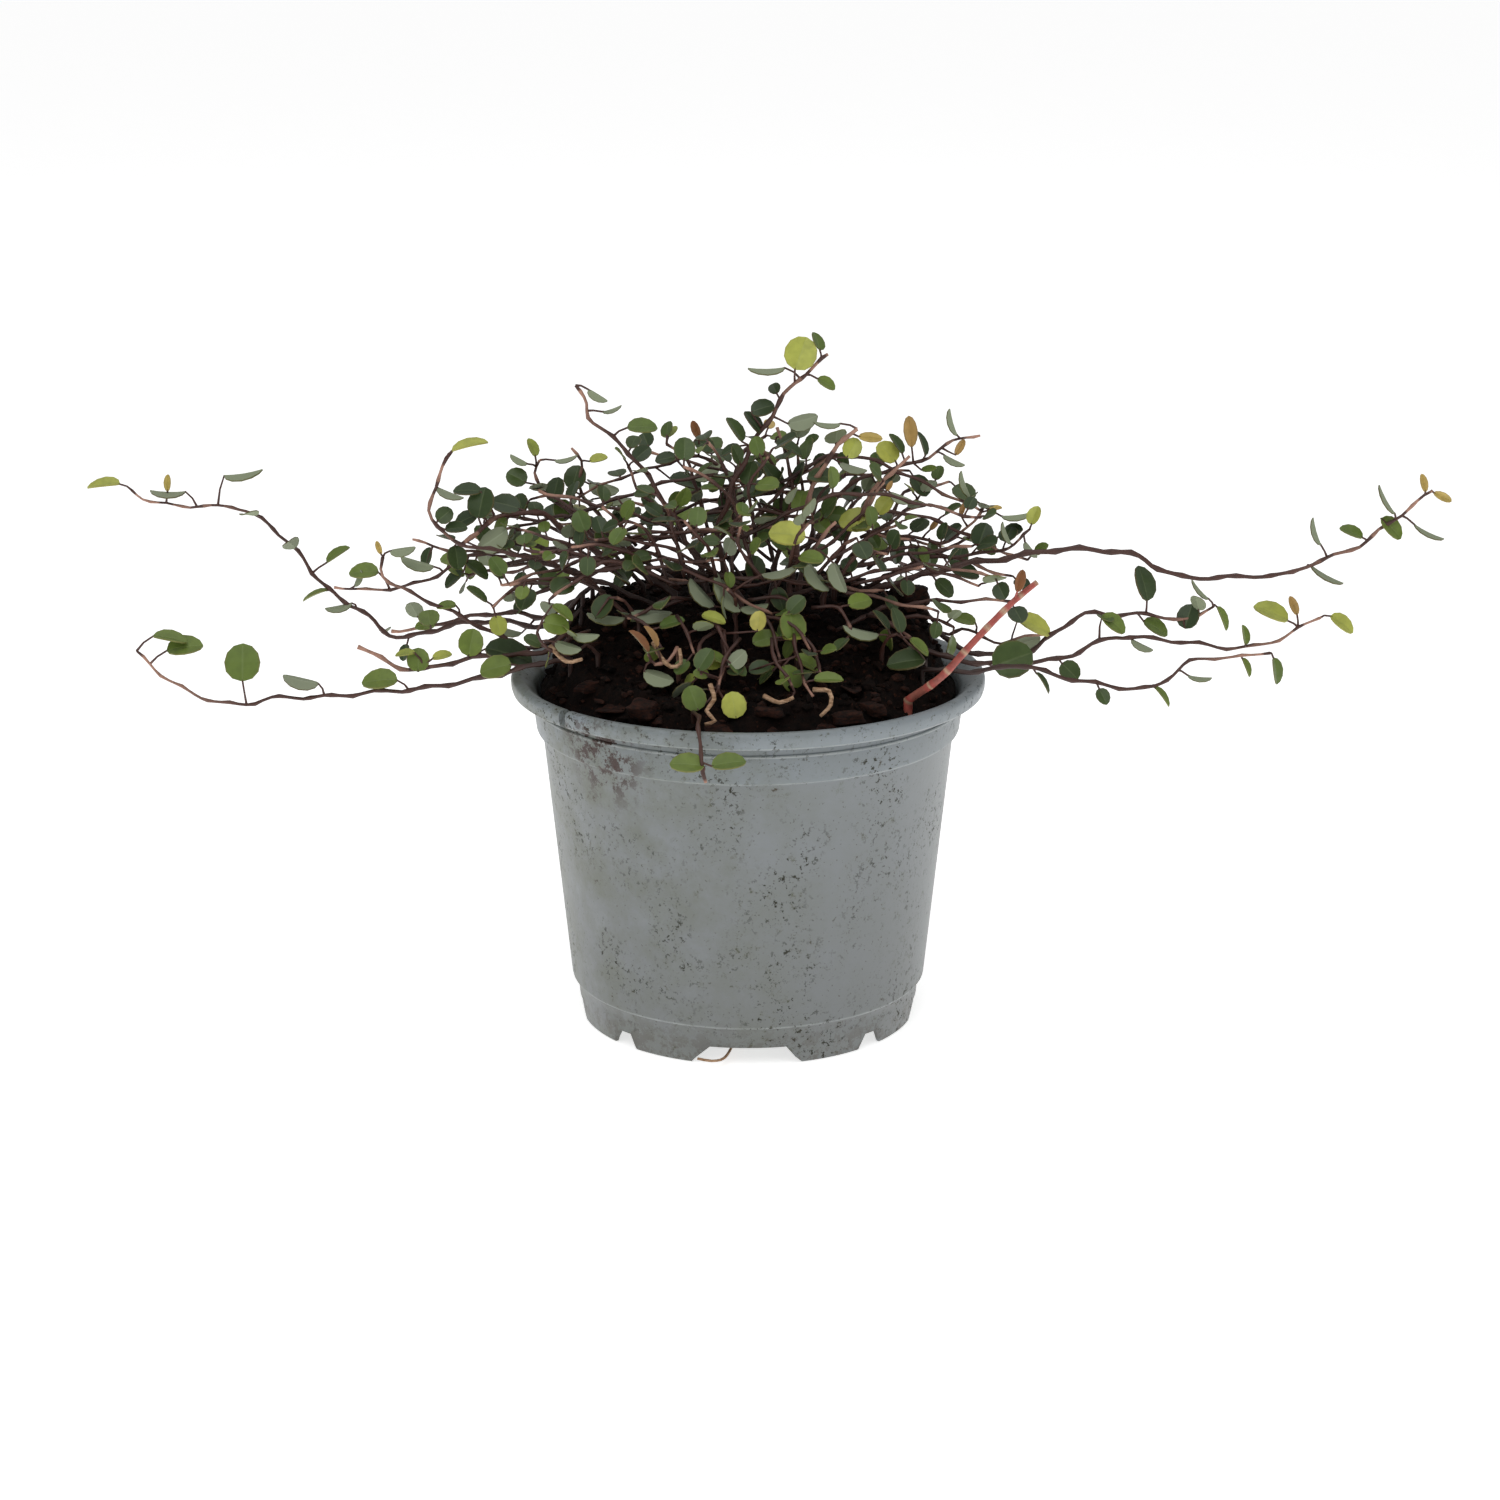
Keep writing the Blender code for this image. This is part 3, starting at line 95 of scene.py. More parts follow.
# Each shoot: where it is rooted (x, y), its route, its radius at the root and at the tip, and its
# leaves as (across, up, heading in degrees, length, seen width, tint).
# Tints: d dark green, g green, y yellow-green, o ochre, b brown and dry, p its pale underside shows.
SHOOTS = {
    "far_left_runner": {
        "root": (-42, 8), "radius": (1.1, 0.45),
        "route": [
            (-50, 101.5, 13), (-62, 102.5, 16), (-72, 102, 18), (-80, 100, 20), (-87, 98.3, 22),
            (-92, 100, 23), (-97, 105, 24), (-103, 108.6, 25), (-108, 113.5, 26), (-113, 120.5, 27),
            (-120, 127.5, 28), (-127, 131.6, 29), (-134, 132, 30), (-141, 132.2, 30), (-149, 133.2, 30),
            (-153.5, 136.2, 30),
        ],
        "leaves": [
            (-160.5, 137.8, 178, 8.5, 2.8, "y"), (-144.5, 138, 90, 4.5, 4.5, "o"),
            (-144.5, 135.2, 187, 9, 1.8, "p"), (-125.5, 139.8, 0, 10, 2.2, "p"),
            (-109, 109.6, 195, 7, 1.4, "g"), (-103, 120, 42, 7, 2.6, "g"), (-103, 106, 200, 7, 2.2, "p"),
        ],
    },
    "left_twin_runner": {
        "root": (-40, 17), "radius": (1.1, 0.6),
        "route": [
            (-50, 104, 22), (-58, 104.6, 26), (-66, 104.3, 29), (-74, 102.8, 31), (-82, 100.8, 32),
            (-90, 100, 33),
        ],
        "leaves": [
            (-81.5, 101.5, 180, 5.5, 3, "g"), (-61, 100, 172, 8, 2, "p"), (-57, 107, 60, 6, 3, "d"),
        ],
    },
    "left_forked_branch": {
        "root": (-42, -2), "radius": (1.0, 0.55),
        "route": [
            (-50, 96.8, -3), (-57, 96, -3), (-64, 99.3, -3), (-71, 103, -3), (-78, 106.5, -3),
            (-85, 110, -4), (-90, 112.5, -4), (-92, 116, -4), (-91.8, 119, -4),
        ],
        "leaves": [
            (-86.5, 120.6, 0, 6.5, 2.6, "p"), (-76, 106.6, 178, 5, 2.4, "g"),
            (-92.5, 121.5, 110, 3.6, 1.6, "o"),
        ],
    },
    "left_link_branch": {
        "root": (-24, 2), "radius": (0.95, 0.45),
        "route": [
            (-33, 111, 2), (-43, 114.5, 4), (-53, 118, 5), (-62, 120.3, 5), (-70, 119.4, 4),
            (-75, 116.5, 3), (-80, 113.4, 2), (-86, 111.6, 2), (-92, 110.8, 2), (-98, 110.6, 2),
            (-104, 111.6, 2),
        ],
        "leaves": [
            (-96.5, 115.4, 176, 7.5, 4.2, "g"), (-83, 117.2, 172, 8.5, 2.6, "p"),
            (-97.8, 113.5, 60, 4.5, 1.8, "p"), (-74, 113.5, 215, 6, 3, "d"), (-68, 116, 330, 7, 3, "d"),
        ],
    },
    "low_left_runner": {
        "root": (-44, -16), "radius": (1.0, 0.45),
        "route": [
            (-51, 92, -17), (-58, 90, -16), (-66, 88, -13), (-76, 86, -11), (-86, 84.6, -9), (-95, 84, -8),
            (-104, 83, -7), (-113, 82.6, -6), (-121, 82.4, -5), (-127.5, 80.8, -4), (-134, 81.2, -3),
            (-140.5, 83.4, -2), (-147, 87.2, -1), (-151.5, 91.3, 0), (-154.8, 94.6, 0),
        ],
        "leaves": [
            (-128, 91.8, 90, 9.5, 9.2, "g"), (-146, 98.4, 357, 8.5, 2.8, "g"),
            (-142.5, 96, 14, 9, 4.8, "g"), (-113.5, 86.6, 175, 9, 3, "p"), (-93.5, 87.2, 178, 9, 5, "g"),
            (-64, 90.4, 190, 8, 5.5, "g"),
        ],
    },
    "pink_tip_left": {
        "root": (-45, -8), "radius": (1.0, 0.7),
        "route": [
            (-52, 94.4, -10), (-60, 93.8, -8), (-68, 93.2, -7), (-75, 91.8, -6), (-82, 90, -6),
            (-88, 90.4, -5), (-93, 92.8, -5), (-98.5, 96.2, -5),
        ],
        "leaves": [
            (-83.5, 92.5, 90, 6, 6, "g"), (-70, 97, 80, 7, 6.6, "g"), (-60.5, 94.2, 350, 12, 6, "d"),
            (-77.5, 93.6, 20, 5, 2.5, "y"), (-86.8, 94.2, 180, 5, 1.8, "y"),
        ],
    },
    "left_arch": {
        "root": (-19, 9), "radius": (1.5, 0.8),
        "route": [
            (-26, 114.8, 9), (-33, 117.8, 9), (-40, 121.5, 8), (-46, 126, 7), (-51, 129.8, 6),
            (-57, 130.6, 4), (-63, 128.8, 2), (-68, 125.5, 0), (-72, 121.8, -2),
        ],
        "leaves": [
            (-70, 136.2, 172, 7, 3.6, "d"), (-66.5, 133, 80, 8, 6.5, "d"), (-60.5, 132.6, 160, 7.5, 5, "d"),
            (-70.5, 128.8, 200, 6, 4, "d"), (-63.5, 123.5, 30, 8, 5.5, "p"), (-73, 119, 280, 6, 4.4, "d"),
        ],
    },
    "tall_left_shoot": {
        "root": (-31, -2), "radius": (0.9, 0.55),
        "route": [
            (-39, 112, -3), (-49, 117.5, -5), (-59, 120, -6), (-68, 121.5, -7), (-74, 123.5, -8),
            (-77.8, 126.8, -8), (-79.3, 131, -8), (-78, 137, -8), (-75.8, 142, -8), (-73.4, 146, -8),
        ],
        "leaves": [
            (-69.2, 147.7, 22, 9, 2.8, "y"), (-74.4, 135, 330, 7, 2, "p"), (-75.8, 129.8, 40, 4.6, 4, "d"),
            (-73, 126.6, 10, 5.5, 3, "d"),
        ],
    },
    "left_level_branch": {
        "root": (-33, 14), "radius": (0.9, 0.45),
        "route": [
            (-42, 114.5, 15), (-52, 118.6, 15), (-62, 119.5, 14), (-71, 120.5, 13), (-79, 121.8, 12),
            (-84, 123.6, 11),
        ],
        "leaves": [
            (-80.5, 119.2, 85, 5, 3, "d"), (-58, 124, 100, 7, 3, "p"), (-66, 124.6, 120, 6.5, 4, "d"),
            (-51, 113.8, 315, 9, 3, "d"),
        ],
    },
    "left_rising_shoot": {
        "root": (-27, 18), "radius": (1.0, 0.5),
        "route": [
            (-33, 119, 18), (-39, 125, 19), (-44, 130, 20), (-48, 133.5, 21), (-52, 137, 21),
            (-53.2, 140.5, 21), (-51.5, 143.5, 21),
        ],
        "leaves": [
            (-57.6, 139.4, 150, 5.6, 4.6, "d"), (-53.4, 147, 105, 5, 2.6, "y"),
            (-45.2, 143.9, 4, 6, 1.6, "p"), (-57, 143.6, 160, 5, 1.8, "p"), (-48, 136.3, 80, 6.6, 5, "d"),
        ],
    },
    "left_top_twig": {
        "root": (-20, 24), "radius": (0.85, 0.5),
        "route": [
            (-28, 120, 27), (-35, 127, 29), (-40, 133, 30), (-42, 138.5, 30), (-41.5, 143.5, 30),
            (-43.5, 147, 30),
        ],
        "leaves": [
            (-37.2, 144.2, 20, 4.8, 2.6, "y"), (-43, 139.4, 75, 6.5, 5.6, "d"),
            (-33, 133.5, 350, 8, 2.6, "p"), (-36, 136.4, 340, 8, 4, "p"),
        ],
    },
    "long_diagonal_shoot": {
        "root": (-9, -2), "radius": (1.1, 0.55),
        "route": [
            (-11, 114, -2), (-14.5, 121.5, -2), (-19, 130, -2), (-24, 138.2, -2), (-29.5, 145.5, -2),
            (-35, 150.5, -2), (-39.3, 154.5, -2), (-40, 157.8, -2), (-42.6, 162.4, -2),
        ],
        "leaves": [
            (-26.2, 152.2, 5, 7.4, 4.2, "g"), (-33.6, 156.3, 10, 5, 1.4, "p"),
            (-37.3, 159.6, 320, 5.5, 2, "p"),
        ],
    },
    "top_cross_link": {
        "root": (-4, 20), "radius": (0.9, 0.45),
        "route": [
            (-4, 120, 24), (-3.5, 131, 26), (-4.5, 140, 27), (-9, 143.6, 28), (-16, 144.4, 28),
            (-23, 141.8, 28), (-30, 140, 28), (-37, 137, 28), (-44, 134, 27),
        ],
        "leaves": [
            (-10.8, 147.6, 335, 5.6, 4, "d"), (-13, 151.4, 110, 5, 2.6, "b"), (-10, 140.8, 25, 8, 4, "p"),
            (-15.4, 138.4, 350, 8.6, 4, "d"),
        ],
    },
    "inner_left_shoot": {
        "root": (-14, 14), "radius": (0.9, 0.45),
        "route": [
            (-17, 120, 14), (-20, 127, 14), (-19, 132.5, 14), (-13, 135.8, 15), (-7, 137.4, 15),
            (-2, 137.6, 15),
        ],
        "leaves": [
            (-23, 129, 10, 8, 4.4, "d"), (-24.5, 135, 80, 6.5, 3.6, "d"), (-9, 129.4, 175, 6, 3.4, "d"),
            (-5, 134, 70, 7, 4, "d"),
        ],
    },
    "top_shoot": {
        "root": (-2, 3), "radius": (1.3, 0.6),
        "route": [
            (-5, 114, 3), (-7.4, 121, 3), (-7, 128, 2), (-4.6, 134.4, 1), (-2.6, 140, 0), (0.8, 147, 0),
            (4.6, 153, 0), (8, 158.5, 0), (11.5, 163, 0), (15.5, 166.5, 0), (19.8, 170, 0),
        ],
        "leaves": [
            (13, 170.4, 70, 8.5, 8, "y"), (19.4, 163, 335, 5, 2.8, "g"), (4.6, 166, 190, 9, 1.8, "p"),
            (3.6, 156.8, 20, 6, 4.6, "d"), (-3, 151.6, 115, 7, 2.8, "d"), (1.4, 153.4, 118, 6.6, 3, "d"),
            (13.6, 153.4, 8, 7.6, 4.4, "p"), (0.4, 140.4, 80, 6, 4.4, "d"), (-4.4, 146.4, 200, 5, 2.4, "d"),
        ],
    },
    "centre_dark_shoot": {
        "root": (6, 9), "radius": (1.1, 0.5),
        "route": [
            (7.5, 120, 9), (9.6, 128, 9), (11, 136, 8), (10.4, 142, 8), (8.4, 147.4, 8), (7.4, 152, 8),
        ],
        "leaves": [
            (6.2, 139.8, 115, 8, 4, "d"), (10.2, 147, 340, 7.5, 3, "d"), (12.6, 140.4, 80, 6, 2.6, "d"),
            (2.4, 136.4, 30, 8, 4, "d"), (5, 127.6, 60, 7, 5, "d"),
        ],
    },
    "pale_pink_shoot": {
        "root": (10, 1), "radius": (1.2, 0.75),
        "route": [
            (11.5, 117, 0), (13, 125, -1), (15, 133, -2), (18, 141, -2), (21.4, 146, -2), (26.8, 151.8, -2),
        ],
        "leaves": [
            (25.9, 146.8, 60, 5.4, 4.8, "y"), (30.4, 149.4, 355, 6, 2.6, "o"),
            (19.6, 152.6, 185, 6.6, 1.8, "p"), (26, 141.6, 335, 7, 2.4, "p"), (19, 139.6, 5, 8.6, 4.2, "d"),
        ],
    },
    "upper_right_branch": {
        "root": (13, 14), "radius": (1.1, 0.45),
        "route": [
            (15, 122, 14), (18, 130, 14), (23, 135.6, 14), (30, 139.8, 14), (37, 141.8, 14),
            (43, 143.6, 14), (48, 146.8, 14), (52.5, 149, 14), (57.5, 150.2, 14),
        ],
        "leaves": [
            (40.2, 151, 95, 8, 5.6, "o"), (34.6, 145.8, 130, 6.4, 5, "y"), (37, 148, 115, 6, 2.4, "d"),
            (43.4, 148, 100, 6.4, 2, "d"), (52.6, 147, 60, 4.6, 3.2, "o"), (50.4, 153, 115, 7, 1.8, "p"),
            (45, 141.6, 10, 4, 2, "g"), (51, 143.4, 325, 6, 2, "p"),
        ],
    },
    "right_pink_shoot": {
        "root": (19, 6), "radius": (1.0, 0.6),
        "route": [
            (22, 117.6, 4), (25, 124, 2), (28, 130, 0), (31.4, 136, -1), (35.4, 140.6, -1),
            (40.4, 144.4, -1),
        ],
        "leaves": [
            (27.2, 128.4, 175, 9, 6, "y"), (34, 132.6, 60, 6, 4, "y"), (38, 134, 330, 6, 2.4, "p"),
            (35.2, 137.2, 60, 3, 3, "o"),
        ],
    },
    "bright_leaf_shoot": {
        "root": (4, -8), "radius": (0.8, 0.6),
        "route": [(6, 110, -10), (10, 115.6, -12), (15, 120, -14), (19, 124.4, -14), (22, 128, -14)],
        "leaves": [
            (9.8, 125, 170, 9, 6.2, "y"), (17, 113.6, 300, 8.6, 3.6, "p"), (22.4, 113.6, 285, 8, 3.6, "p"),
        ],
    },
    "far_right_runner": {
        "root": (27, 4), "radius": (1.3, 0.55),
        "route": [
            (33, 111, 3), (40, 113.4, 2), (47, 115.4, 1), (54, 117.3, 0), (61, 118.2, -1), (68, 119.4, -2),
            (75, 120.7, -3), (83, 121.1, -4), (91, 120.6, -5), (98, 119.2, -6), (103, 116.2, -7),
            (109, 114, -8), (118, 113.8, -9), (127, 114.2, -10), (135, 114.6, -10), (140, 116.8, -11),
            (147, 119.4, -11), (153, 122, -12), (158, 125.8, -12), (163, 130, -12), (167, 133.2, -12),
            (170.4, 135.8, -12),
        ],
        "leaves": [
            (141.8, 125.4, 115, 7, 2, "p"), (145, 114, 322, 9, 1.4, "p"), (151, 125.6, 150, 6, 3, "g"),
            (161, 126.6, 320, 7, 4.4, "g"), (158.8, 133.4, 128, 8, 1.6, "p"), (170, 125, 325, 8, 1.4, "p"),
            (168.2, 138, 100, 4.6, 2.2, "o"), (173.2, 134.4, 335, 5, 2.2, "o"),
        ],
    },
    "right_level_branch": {
        "root": (22, 13), "radius": (0.95, 0.5),
        "route": [
            (26, 120, 12), (33, 124.4, 11), (40, 124.6, 10), (45, 123, 9), (48.6, 122.6, 9), (53, 125.4, 9),
            (56.8, 128, 9), (58.6, 132, 9),
        ],
        "leaves": [
            (53.8, 137.4, 118, 7, 1.8, "p"), (67, 129.4, 358, 7.6, 1.8, "p"),
            (53.6, 131.4, 75, 3.6, 1.4, "o"), (61.5, 131.4, 15, 4, 1.4, "o"),
            (46.6, 127.4, 50, 3.6, 2.4, "o"), (37, 121.4, 285, 8, 4.2, "d"), (46, 119.6, 275, 7, 3.4, "d"),
        ],
    },
    "right_middle_branch": {
        "root": (30, 12), "radius": (0.95, 0.5),
        "route": [
            (36, 114.6, 10), (42, 118, 8), (49, 119.2, 6), (56, 119.6, 5), (62, 120.6, 4), (66.6, 122.4, 3),
            (70.6, 126, 3),
        ],
        "leaves": [
            (58.6, 124.8, 70, 6.4, 5.6, "d"), (71.4, 129.8, 75, 5, 3, "y"), (64.4, 125, 120, 6, 1.6, "p"),
            (70.6, 120.8, 300, 5, 2, "p"), (54.6, 115.4, 350, 7.4, 4, "d"), (49.4, 111.2, 320, 6, 4, "d"),
        ],
    },
    "right_fan_upper": {
        "root": (46, -3), "radius": (1.05, 0.5),
        "route": [
            (53, 95.8, -5), (60, 94, -6), (66, 93.6, -6), (72, 95, -6), (78, 100, -6), (85, 104.4, -6),
            (92, 104.2, -6), (98, 104.4, -6), (105, 103.6, -6), (112, 103, -6), (117, 106.6, -6),
        ],
        "leaves": [
            (99.6, 112.4, 98, 9, 5.4, "d"), (103, 101, 335, 7, 4, "g"), (111, 103.8, 75, 6.4, 5, "d"),
            (119.8, 103.4, 300, 6.4, 2.4, "g"), (113.4, 110.4, 140, 6.4, 1.4, "p"),
            (72.4, 101.6, 340, 9, 4.4, "y"),
        ],
    },
    "right_fan_middle": {
        "root": (44, -13), "radius": (1.0, 0.45),
        "route": [
            (52, 92.6, -15), (60, 91.6, -15), (68, 91.6, -13), (76, 92.2, -12), (82, 93.8, -12),
            (87, 96.4, -11), (93, 98.4, -11), (100, 98.2, -10), (107, 97.4, -10), (114, 96.6, -10),
            (121, 95.6, -10), (128, 96, -10), (134, 97.8, -10), (139, 100.6, -10), (144, 103.6, -10),
        ],
        "leaves": [
            (92.4, 102, 330, 7, 4, "g"), (125.6, 99, 90, 5, 2.2, "g"), (132, 105, 150, 9, 4.4, "y"),
            (150, 102, 330, 7, 4, "y"), (137.4, 106.6, 110, 5, 3, "o"), (99.4, 96, 325, 6, 2, "p"),
            (67, 92.6, 20, 10.4, 9, "d"),
        ],
    },
    "right_fan_lower": {
        "root": (43, -20), "radius": (1.0, 0.45),
        "route": [
            (54, 89.4, -23), (62, 90, -22), (70, 91, -20), (77, 88.6, -18), (84, 87, -17), (92, 85.6, -17),
            (98, 84.8, -16), (103, 85.4, -16), (107.6, 88.6, -16), (112, 92, -16), (118, 93, -16),
            (125, 93.2, -16), (132, 94.6, -16),
        ],
        "leaves": [
            (105.4, 83, 315, 6, 1.8, "g"), (114.4, 87.6, 345, 6, 1.4, "p"), (126.4, 90.6, 300, 5, 2, "g"),
            (134, 89.6, 285, 6.6, 3, "g"), (75, 86.6, 310, 6, 1.4, "d"),
        ],
    },
    "right_loop_twig": {
        "root": (44, 11), "radius": (0.8, 0.4),
        "route": [
            (49, 99.6, 11), (54, 100.6, 11), (59, 98.4, 10), (64, 97, 8), (70, 98.4, 7), (75, 99.2, 6),
        ],
        "leaves": [(69.6, 96.4, 10, 9, 4.6, "p"), (54.6, 103, 160, 6, 3, "g")],
    },
    "red_jointed_shoot": {
        "root": (39, -31), "radius": (1.7, 1.1),
        "route": [
            (49, 88, -35), (56, 96, -35), (61.6, 102.2, -33), (67, 107.8, -31), (72.6, 112.6, -29),
        ],
        "leaves": [(68.4, 113, 75, 5.6, 2.8, "b")],
    },
    "rim_trailer": {
        "root": (-13, -47), "radius": (0.8, 0.6),
        "route": [
            (-12.6, 77.4, -53), (-12.6, 75.6, -58), (-12.5, 72.4, -62.5), (-12.3, 67.6, -64),
            (-10.6, 60, -64.5),
        ],
        "leaves": [(-15.6, 65, 170, 8, 4.4, "g"), (-5, 65.4, 14, 8, 4, "g")],
    },
    "front_centre_shoot": {
        "root": (-6, -24), "radius": (0.8, 0.5),
        "route": [(-6, 100, -25), (-5.6, 94.6, -29), (-6.4, 89, -35), (-7.6, 84.4, -40)],
        "leaves": [
            (-8.6, 103.4, 350, 6, 2.6, "y"), (2.6, 102.6, 85, 5, 4, "y"), (-11, 92.6, 60, 6, 4.6, "d"),
            (-2.6, 92.6, 40, 5.4, 4, "p"), (-3.6, 80.6, 100, 6.4, 6, "y"),
            (-13.8, 82.4, 110, 6.2, 5.4, "g"),
        ],
    },
    "front_right_shoot": {
        "root": (12, -23), "radius": (0.8, 0.45),
        "route": [(11.6, 99, -24), (12.6, 93.4, -30), (14, 88, -36), (16.4, 82.8, -41)],
        "leaves": [
            (11.2, 101.4, 100, 7.6, 6, "g"), (4.4, 98, 20, 6.6, 4.4, "g"), (15, 91.8, 335, 6.6, 3, "g"),
            (10.8, 87.4, 300, 7.4, 5, "g"), (20.4, 87.6, 8, 7, 2.6, "g"), (3, 90.4, 20, 5.6, 3.6, "d"),
        ],
    },
    "front_left_shoot": {
        "root": (-37, -20), "radius": (0.8, 0.45),
        "route": [(-41, 96.4, -22), (-46, 93.4, -25), (-50.6, 95.6, -28), (-53.2, 99.6, -29)],
        "leaves": [
            (-48.4, 101.6, 350, 6.4, 5, "g"), (-46.6, 105, 330, 6, 2.4, "g"),
            (-45.6, 95.6, 335, 6.6, 2.8, "p"), (-41, 98.4, 350, 6.6, 2.2, "p"),
        ],
    },
    "front_left_leafy": {
        "root": (-27, -12), "radius": (0.8, 0.5),
        "route": [(-28, 103.6, -13), (-31, 107.6, -15), (-35, 108.4, -17)],
        "leaves": [
            (-35.8, 103.2, 182, 9.4, 2.4, "p"), (-24.4, 104, 350, 10, 3.4, "p"),
            (-36.6, 106.4, 60, 6.6, 5, "d"),
        ],
    },
    "front_dry_fork": {
        "root": (-17, -27), "radius": (0.8, 0.6),
        "route": [(-18, 95.6, -29), (-20, 92, -31), (-23.6, 91, -32), (-25, 94, -32)],
        "leaves": [
            (-27.4, 97.4, 125, 7, 1.6, "b"), (-24.4, 98.6, 115, 6, 1.4, "b"),
            (-22.8, 87.6, 335, 7.6, 4, "p"),
        ],
    },
    "front_grey_leaves": {
        "root": (-3, -13), "radius": (0.9, 0.6),
        "route": [(-3, 105.4, -14), (-3.6, 108.6, -16), (-5.4, 110.8, -17)],
        "leaves": [
            (-12, 109.4, 140, 9, 3, "p"), (-5.6, 109.4, 130, 11, 3.6, "p"), (1.6, 105.8, 0, 7, 2.4, "p"),
            (8, 115, 5, 9, 2.2, "p"),
        ],
    },
    "right_soil_shoot": {
        "root": (33, -18), "radius": (0.8, 0.5),
        "route": [(34.6, 97, -20), (37.6, 99, -22), (40.6, 97, -23)],
        "leaves": [
            (28.4, 99.4, 175, 9, 2.6, "p"), (37.8, 102.8, 100, 6.4, 3.4, "d"), (33.8, 103, 120, 6, 2, "d"),
            (40, 92.2, 182, 9.4, 5, "d"), (43.4, 96, 325, 6, 2.4, "g"),
        ],
    },
    "back_left_trailer": {
        "root": (-26, 32), "radius": (1.0, 0.5),
        "route": [(-34, 117, 40), (-43, 119, 47), (-53, 117, 53), (-62, 115, 58), (-70, 116.6, 62)],
        "leaves": [
            (-40, 124, 100, 7, 4, "d"), (-52, 121.6, 80, 7, 5, "g"), (-57, 112, 260, 7, 4, "d"),
            (-66, 120, 110, 7, 4, "p"), (-74, 118.6, 170, 7, 4, "g"),
        ],
    },
    "back_right_trailer": {
        "root": (24, 33), "radius": (1.0, 0.5),
        "route": [(30, 117.4, 40), (36, 118.4, 47), (42, 116, 54), (47, 114.6, 60), (52, 116.4, 65)],
        "leaves": [
            (33, 121.4, 80, 7, 4.4, "g"), (42, 119.4, 100, 7, 4, "d"), (39, 111, 280, 7, 4, "p"),
            (53, 119, 80, 7, 5, "d"),
        ],
    },
    "back_centre_shoot": {
        "root": (2, 32), "radius": (1.0, 0.5),
        "route": [(1, 120, 37), (-1.6, 127, 44), (-6, 132, 51), (-10, 133.8, 58), (-13, 133, 64)],
        "leaves": [
            (4, 124.6, 60, 7, 5, "d"), (-6.4, 126, 200, 7, 4, "g"), (-3.6, 134, 80, 7, 5, "p"),
            (-13.6, 136, 110, 7, 4, "d"), (-16.4, 129.6, 210, 7, 4, "g"),
        ],
    },
    "back_low_shoot": {
        "root": (12, 40), "radius": (0.9, 0.5),
        "route": [(12, 118.6, 45), (13, 117.4, 52), (15, 114.6, 58), (18, 113.4, 64)],
        "leaves": [
            (10, 122, 100, 7, 4.4, "g"), (17.4, 119.6, 60, 7, 5, "d"), (18.6, 109.6, 300, 7, 4, "p"),
            (22.4, 115, 20, 7, 4, "d"),
        ],
    },
}

